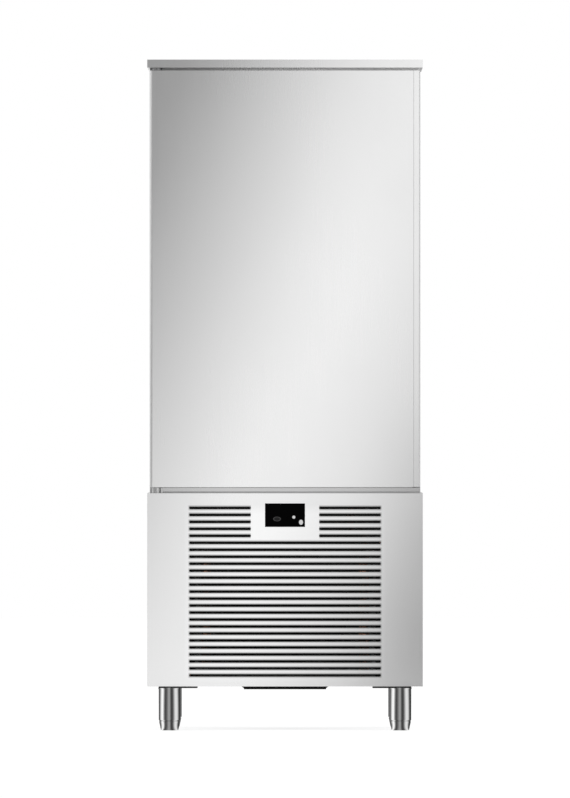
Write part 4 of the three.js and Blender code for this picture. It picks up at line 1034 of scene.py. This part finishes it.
def makeReceiver():
    look = receiverShape
    x, y, z = look["at"]
    r, height, end, pipe, neck = look["radius"], look["height"], look["end"], look["pipe"], look["neck"]
    low, high, level = end, height - end, z + look["inlet"]
    tank = turned(
        [
            *[(r * part, low + depth) for part, depth in look["dome"]],
            *[(r * part, height * 0.5 + rise) for part, rise in look["weld"]],
            *[(r * part, high - depth) for part, depth in reversed(look["dome"])],
            (neck, high), (neck, high + 0.003),
        ],
        look["at"], sides=56, smooth=40,
    )
    ring = turned(
        [(r, 0), (r, 0.003), (r * 0.76, 0.0032), (r * 0.74, 0.019), (r * 0.7, 0.019), (r * 0.7, 0)],
        look["at"], sides=56, ring=True,
    )
    nut = turned(look["nut"], (x, y, z + high - 0.002), sides=6)
    outlet = wire([(x, y, z + high - 0.01), (x, y, z + height)], pipe, smoothness=3)
    inlet = wire([(x - r - 0.015, y, level), (x - r * 0.8, y, level)], pipe, smoothness=3)
    standIn(joined([tank, ring, nut, outlet, inlet]), "receiver_tank", "blackPaint", "receiver")


print("compressor and receiver")
makeCompressor()
makeReceiver()


# Drain: a flanged pipe from the chamber's floor to the pan

drainShape = {"radius": 0.016, "wall": 0.002, "flange": 0.028, "sheet": 0.0012}


def makeDrain():
    low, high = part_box("drain_pipe")
    outer, flange, top = drainShape["radius"], drainShape["flange"], high.z
    inner, lip = outer - drainShape["wall"], top - drainShape["sheet"]
    pipe = turned(
        [
            (outer, low.z), (outer, lip), (flange, lip), (flange, top - 0.0003), (flange - 0.0004, top),
            (inner + 0.002, top), (inner + 0.0005, top - 0.0006), (inner, top - 0.002), (inner, low.z),
        ],
        (0, 0, 0), sides=64, ring=True,
    )
    standIn(pipe, "drain_tube", "greyPlastic", "drain_pipe")


# Cable gland: a hexagon and a ribbed, rounded clamping nut, with its mouth left open

glandShape = {
    "at": (-0.33, 0.375, 0.19), "ribs": 12, "throat": 0.0084, "threads": 6, "threadPitch": 0.0015,
    "hexagon": [(0.0122, 0.0003), (0.0138, 0.0012), (0.0138, 0.0062), (0.0122, 0.007)],
    "nut": [
        (0.0108, 0.0068), (0.0112, 0.0074), (0.0112, 0.0125), (0.0106, 0.0152), (0.0092, 0.0172),
        (0.0078, 0.018), (0.0062, 0.0178), (0.0056, 0.017), (0.0056, 0.011),
    ],
}


def makeGland():
    look = glandShape
    pieces = [turned(look["hexagon"], look["at"], "Y", 6), turned(look["nut"], look["at"], "Y", 32)]
    rib = block((0.0104, 0.0078, -0.0006), (0.0117, 0.0122, 0.0006), 0.0003, 1)
    seat = Matrix.Translation(look["at"])
    turns = [seat @ Matrix.Rotation(2 * math.pi * i / look["ribs"], 4, "Y") for i in range(look["ribs"])]
    pieces += copiesOf(rib, turns)
    throat = look["throat"]
    thread = [(throat - 0.0004, -0.01)]
    for i in range(look["threads"]):
        along = look["threadPitch"] * i
        thread += [(throat, -0.0096 + along), (throat - 0.0007, -0.0089 + along)]
    pieces.append(turned([*thread, (throat, 0.0004)], look["at"], "Y", 32))
    standIn(joined(pieces), "gland_nut", "blackPlastic", "cable_gland")


# Controller: a gloss panel with softened edges
controllerShape = {"softness": 0.0009, "segments": 3}


def makeController():
    pane = block(*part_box("controller_glass"), **controllerShape)
    standIn(smoothed(pane, 50), "controller_pane", "blackGlass", "controller_glass")


# Strips along a node's front edge: a steel bead in the open line under the sill, and the door's folded hem.
# Each is held in at its ends, and goes back from the node's front and up from its low edge
strips = {
    "sill_bead": {
        "node": "door_sill", "finish": "sillSteel", "inset": 0.001, "softness": 0.0004,
        "y": (0.0006, 0.0026), "z": (0.0002, 0.0024),
    },
    "door_hem": {
        "node": "door_skin", "finish": "satinSteel", "inset": 0.004, "softness": 0.0003,
        "y": (0.0005, 0.0145), "z": (-0.0011, 0.001),
    },
}


def makeStrip(name):
    look = strips[name]
    low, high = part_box(look["node"])
    (front, back), (bottom, top), inset = look["y"], look["z"], look["inset"]
    strip = block(
        (low.x + inset, low.y + front, low.z + bottom), (high.x - inset, low.y + back, low.z + top),
        look["softness"],
    )
    standBy(strip, name, look["finish"], look["node"])


# Stop end that closes the sill against the lower hinge bracket
sillEndShape = {"overlap": 0.004, "inside": 0.0005, "y": (0.001, 0.02), "drop": 0.0005, "lift": 0.0003}


def makeSillEnd():
    low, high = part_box("door_sill")
    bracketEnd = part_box("hinge_bracket_bottom")[1].x
    look, (front, back) = sillEndShape, sillEndShape["y"]
    stop = block(
        (bracketEnd - look["overlap"], low.y + front, low.z + look["lift"]),
        (low.x + look["inside"], low.y + back, high.z - look["drop"]), 0.0003,
    )
    standBy(stop, "sill_end", "sillSteel", "door_sill")


# Locating rim moulded under the condensate pan
panRimShape = {"drop": 0.004, "thickness": 0.003, "half": 0.1185}


def makePanRim():
    x, y, z = centreOf("condensate_pan")
    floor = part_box("condensate_pan")[0].z
    half, inner = panRimShape["half"], panRimShape["half"] - panRimShape["thickness"]
    bottom, top = floor - panRimShape["drop"], floor + 0.0005
    bars = []
    for side in (-1, 1):
        near, far = sorted((side * half, side * inner))
        bars.append(block((x - half, y + near, bottom), (x + half, y + far, top)))
        bars.append(block((x + near, y - inner, bottom), (x + far, y + inner, top)))
    standBy(joined(bars), "pan_rim", "panPlastic", "condensate_pan")


print("sill, hem, pan rim, drain, gland and controller")
makeStrip("sill_bead")
makeSillEnd()
makeStrip("door_hem")
makePanRim()
makeDrain()
makeGland()
makeController()


# Pressed hoods over the slots of the rear grille

hoodShape = {
    "columns": ((-0.3552, -0.018), (0.018, 0.3552)), "face": 0.3752, "proud": 0.008, "top": 0.6157,
    "pitch": 0.032, "rows": 14, "above": 0.004, "below": 0.0068, "lean": 0.85, "narrowing": 0.008,
    "sheet": 0.001, "shadeStart": 0.0004, "shadeFull": 0.0008,
}


# Zinc with painted shade inside the hoods: near black a little behind their sloping faces
def hoodFinish(name):
    look = hoodShape
    material = zincFinish(name)
    tree, shader, colour = colourOf(material)
    y, z = axes(tree)[1:]
    rise = combine("SUBTRACT", z, look["top"] - look["below"])
    rise = combine("FLOORED_MODULO", rise, look["pitch"])
    slope = look["proud"] * look["lean"] / (look["above"] + look["below"])
    outside = combine("SUBTRACT", look["face"] + look["proud"], times(rise, slope))
    depth = combine("SUBTRACT", outside, y)
    # Painted shade: near black inside each hood
    dark = between(depth, 0, 1, look["shadeStart"], look["shadeFull"])
    link(mixed(dark, colour, (0.02, 0.02, 0.02)), shader.inputs["Base Color"])
    return material


def makeHood(x0, x1):
    face, proud, z = hoodShape["face"], hoodShape["proud"], hoodShape["top"]
    hood = block((x0, face, z - hoodShape["below"]), (x1, face + proud, z + hoodShape["above"]), 0)
    openUp(hood)
    choose(hood, "verts", lambda vertex: vertex.co.y > face + proud / 2 and vertex.co.z > z)
    bpy.ops.transform.translate(value=(0, -proud * hoodShape["lean"], 0))
    choose(hood, "verts", lambda vertex: vertex.co.y > face + proud / 2)
    narrow = (x1 - x0 - hoodShape["narrowing"]) / (x1 - x0)
    bpy.ops.transform.resize(value=(narrow, 1, 1), center_override=((x0 + x1) / 2, 0, z))
    choose(hood, "faces", lambda shape: shape.normal.z < -0.9 or shape.normal.y < -0.9)
    bpy.ops.mesh.delete(type="FACE")
    closeUp()
    applyModifier(hood, "SOLIDIFY", thickness=hoodShape["sheet"], offset=-1)
    recalculate(hood)
    return applyModifier(hood, "BEVEL", width=0.0004, segments=1, limit_method="ANGLE")


def makeHoods():
    rows = [Matrix.Translation((0, 0, -row * hoodShape["pitch"])) for row in range(hoodShape["rows"])]
    pieces = [piece for x0, x1 in hoodShape["columns"] for piece in copiesOf(makeHood(x0, x1), rows)]
    standBy(smoothed(joined(pieces)), "rear_grille_hoods", "hoodZincPaintedShade", "rear_grille")


print("rear grille hoods")
addFinish("hoodZincPaintedShade", "galvanised", hoodFinish("hood_zinc_painted_shade"))
makeHoods()


# Fasteners: each kind is turned once from its profiles, with so many sides, and copied

fasteners = {
    "screw": [
        (20, [(0.0055, 0), (0.0055, 0.0007), (0.0049, 0.0011), (0.0042, 0.0012)]),  # washer
        (6, [(0.0042, 0.0012), (0.0042, 0.0034), (0.0036, 0.0041)]),
    ],
    "rivet": [(20, [(0.004, 0), (0.0038, 0.0006), (0.003, 0.0011), (0.0016, 0.0013), (0.0012, 0.001)])],
    "thumbNut": [
        (24, [
            (0.0085, 0), (0.0085, 0.002), (0.0078, 0.0024), (0.0078, 0.0036), (0.0085, 0.004),
            (0.0085, 0.0052), (0.0078, 0.0058), (0.004, 0.0058),
        ]),
    ],
}
facing = {"back": (-1, "X"), "front": (1, "X"), "right": (1, "Y"), "left": (-1, "Y")}  # quarter turns
rearEdges = [(x, z) for x in (-0.377, 0.377) for z in (0.72, 0.96, 1.2, 1.44, 1.68, 1.89)]
rearEnds = [(x, z) for x in (-0.226, -0.075, 0.075, 0.226) for z in (0.692, 1.911)]
fastenerPlaces = {
    "back_rivets": ("rivet", "back", "zinc", "cabinet", [(x, 0.4, z) for x, z in rearEdges + rearEnds]),
    "grille_screws": (
        "screw", "back", "zinc", "cabinet",
        [(x, 0.3752, z) for x in (-0.382, 0, 0.382) for z in (0.167, 0.641)],
    ),
    "fan_panel_screws": (
        "screw", "front", "polishedSteel", "fan_panel",
        [(x, 0.1798, z) for x in (-0.228, 0.228) for z in (0.79, 1.291, 1.79)],
    ),
    "shroud_screws": (
        "screw", "back", "zinc", "cabinet",
        [(x, -0.2615, z) for x in (-0.246, 0.246) for z in (0.17, 0.53)],
    ),
}
for side, way in ((-1, "right"), (1, "left")):
    fastenerPlaces[f"rack_nuts_{way}"] = (
        "thumbNut", way, "polishedSteel", "cabinet",
        [(side * 0.3079, y, z) for y in (-0.241, 0.1045) for z in (0.847, 1.172, 1.497, 1.787)],
    )


def makeFasteners():
    for name, (kind, way, finish, body, places) in fastenerPlaces.items():
        sample = joined([turned(profile, (0, 0, 0), sides=sides) for sides, profile in fasteners[kind]])
        quarter, axis = facing[way]
        turn = Matrix.Rotation(quarter * math.pi / 2, 4, axis)
        copies = copiesOf(sample, [Matrix.Translation(place) @ turn for place in places])
        finishPiece(joined(copies), name, finish, body)


print("fasteners")
makeFasteners()


# Camera, light and floor

view = {
    "distance": 60.0,  # far off, as with a very long lens
    "height": 0.951,
    "frameHeight": 2.2875,
    "sensor": 36.0,
}
light = {
    "ambient": 0.62,
    "lamps": [  # place, power and size
        ((-3.2, -3.6, 3.4), 46, 2.4),
        ((3.4, -3.0, 3.0), 34, 2.4),
        ((0.5, 3.6, 3.6), 40, 2.6),
    ],
    "aim": (0, 0, 0.9), "floorGlow": 0.8, "floorTone": 0.36,
}


def addObject(name, data):
    thing = bpy.data.objects.new(name, data)
    bpy.context.collection.objects.link(thing)
    return thing


def makeCamera():
    data = bpy.data.cameras.new("camera")
    data.sensor_width = view["sensor"]
    data.lens = view["sensor"] * view["distance"] / view["frameHeight"]
    data.clip_start = 1
    data.clip_end = 400
    camera = addObject("camera", data)
    camera.location = (0, cadBounds[0][1] - view["distance"], view["height"])
    camera.rotation_euler = (math.pi / 2, 0, 0)
    bpy.context.scene.camera = camera


# The second shader is what the camera and reflections see; all other light comes from the first
def splitSeen(tree, first, second, output):
    path = addNode(tree, "ShaderNodeLightPath")
    seen = combine("MAXIMUM", path.outputs["Is Camera Ray"], path.outputs["Is Glossy Ray"])
    mix = addNode(tree, "ShaderNodeMixShader")
    link(combine("MAXIMUM", seen, path.outputs["Is Transmission Ray"]), mix.inputs["Fac"])
    link(first.outputs[0], mix.inputs[1])
    link(second.outputs[0], mix.inputs[2])
    link(mix.outputs[0], tree.nodes[output].inputs["Surface"])


def makeWorld():
    world = bpy.data.worlds.new("studio")
    bpy.context.scene.world = world
    world.use_nodes = True
    tree = world.node_tree
    plain, white = tree.nodes["Background"], addNode(tree, "ShaderNodeBackground")
    setInputs(plain, Color=(1, 1, 1, 1), Strength=light["ambient"])
    setInputs(white, Color=(1, 1, 1, 1), Strength=1)
    splitSeen(tree, plain, white, "World Output")


def makeLamps():
    for i, (place, power, size) in enumerate(light["lamps"]):
        data = bpy.data.lights.new(f"lamp_{i + 1}", "AREA")
        data.energy = power
        data.size = size
        lamp = addObject(f"lamp_{i + 1}", data)
        lamp.location = place
        lamp.rotation_euler = (Vector(light["aim"]) - lamp.location).to_track_quat("-Z", "Y").to_euler()
        lamp.visible_glossy = False


def makeFloor():
    deselectAll()
    bpy.ops.mesh.primitive_plane_add(size=60)
    floor = bpy.context.object
    floor.name = "floor"
    material, tree, plain = newFinish("floor_white")
    setInputs(plain, **{"Base Color": (0.8, 0.8, 0.8, 1), "Roughness": 0.9})
    tinge, glow = addNode(tree, "ShaderNodeBsdfDiffuse"), addNode(tree, "ShaderNodeEmission")
    setInputs(tinge, Color=(*(light["floorTone"],) * 3, 1))
    setInputs(glow, Strength=light["floorGlow"])
    both = addNode(tree, "ShaderNodeAddShader")
    link(tinge.outputs[0], both.inputs[0])
    link(glow.outputs[0], both.inputs[1])
    splitSeen(tree, plain, both, "Material Output")
    floor.data.materials.append(material)


# Cards that only show as reflections in the steel: each glows in a band along one direction
bandStops = [
    (-1.6, 1.0), (-1.15, 0.75), (-0.9, 0.34), (-0.705, 0.29), (-0.56, 0.53), (-0.42, 0.75), (-0.275, 0.935),
    (-0.13, 1.15), (0.01, 1.23), (0.155, 1.12), (0.3, 1.0), (0.44, 0.735), (0.585, 0.29), (0.75, 0.25),
    (0.95, 0.55), (1.3, 0.9),
]
cardShape = {"away": 1.35, "middle": 1.8, "size": (2.7, 3.6), "topSize": (2.7, 2.7)}
cards = {
    "front": {"way": (0, -1), "through": (0.373, -1.35, 1.808), "across": (0.9336, 0, -0.3584)},
    "back": {"way": (0, 1), "through": (-0.3, 1.35, 1.6), "across": (-0.9336, 0, -0.3584)},
    "right": {"way": (1, 0), "through": (1.35, -0.65, 1.7), "across": (0, 0.9336, -0.3584)},
    "left": {"way": (-1, 0), "through": (-1.35, -0.25, 1.7), "across": (0, -0.9336, -0.3584)},
    "top": {"way": (0, 0), "through": (0.2, 0.3, 3.6), "across": (0.7, 0.71, 0)},
}


def glowAlong(value, stops):
    tree, low, high = value.id_data, stops[0][0], stops[-1][0]
    ramp = addNode(tree, "ShaderNodeFloatCurve")
    points = ramp.mapping.curves[0].points
    while len(points) < len(stops):
        points.new(0.5, 0.5)
    for point, (place, glow) in zip(points, stops):
        point.location = ((place - low) / (high - low), glow / 2)
        point.handle_type = "AUTO"
    ramp.mapping.update()
    link(between(value, 0, 1, low, high), ramp.inputs["Value"])
    glow = addNode(tree, "ShaderNodeEmission")
    link(times(ramp.outputs["Value"], 2), glow.inputs["Strength"])
    link(glow.outputs[0], tree.nodes["Material Output"].inputs["Surface"])


def cardMaterial(name):
    material, tree, shader = newFinish(name)
    tree.nodes.remove(shader)
    return material, tree


def hangCard(card, name, material):
    card.name = name
    card.data.materials.append(material)
    for ray in ("camera", "diffuse", "transmission", "volume_scatter", "shadow"):
        setattr(card, "visible_" + ray, False)


def makeCard(name, way, through, across):
    x, y = way
    away, middle, size = cardShape["away"], cardShape["middle"], cardShape["size"]
    place, turn = (x * away, y * away, middle), (math.pi / 2, 0, math.pi / 2 if x else 0)
    if name == "top":
        place, turn, size = (0, 0, 2 * middle), (0, 0, 0), cardShape["topSize"]
    deselectAll()
    bpy.ops.mesh.primitive_plane_add(size=1, location=place, rotation=turn)
    card = bpy.context.object
    card.scale = (*size, 1)
    settle(card)
    material, tree = cardMaterial("card_" + name)
    away = addNode(tree, "ShaderNodeVectorMath", operation="DOT_PRODUCT")
    link(pattern(tree, location=[-c for c in through]), away.inputs[0])
    away.inputs[1].default_value = across
    glowAlong(away.outputs["Value"], bandStops)
    hangCard(card, "card_" + name, material)


# Light tents round the polished legs: bright and dark strips by the turn round the leg, in degrees
legTent = {
    "radius": 0.1, "height": 0.117, "lift": 0.0005,
    "strips": [
        (-180, 0.3), (-144, 0.26), (-122, 0.1), (-103, 0.4), (-86, 1.0), (-72, 1.32), (-60, 0.85),
        (-48, 0.24), (-37, 0.08), (-27, 0.15), (-16, 0.3), (-5, 0.44), (6, 0.24), (16, 0.07), (27, 0.1),
        (37, 0.34), (48, 0.74), (60, 1.02), (72, 0.95), (86, 0.5), (101, 0.1), (119, 0.03), (144, 0.28),
        (180, 0.3),
    ],
}


def makeLegTents():
    material, tree = cardMaterial("card_legs")
    x, y = axes(tree)[:2]
    turn = times(combine("ARCTAN2", x, times(y, -1)), 180 / math.pi)
    glowAlong(turn, legTent["strips"])
    height = legTent["height"]
    for i in range(1, 5):
        axis = centreOf(f"foot_{i}")
        deselectAll()
        bpy.ops.mesh.primitive_cylinder_add(
            vertices=96, radius=legTent["radius"], depth=height, end_fill_type="NGON",
            location=(axis.x, axis.y, height / 2 + legTent["lift"]),
        )
        tent = bpy.context.object
        openUp(tent)
        choose(tent, "faces", lambda shape: shape.normal.z > 0.9)
        bpy.ops.mesh.delete(type="FACE")
        closeUp()
        hangCard(tent, f"card_leg_{i}", material)


print("camera, light and floor")
makeCamera()
makeWorld()
makeLamps()
makeFloor()
for cardName, cardLook in cards.items():
    makeCard(cardName, **cardLook)
makeLegTents()

bpy.context.scene.view_settings.view_transform = "Standard"
deselectAll()
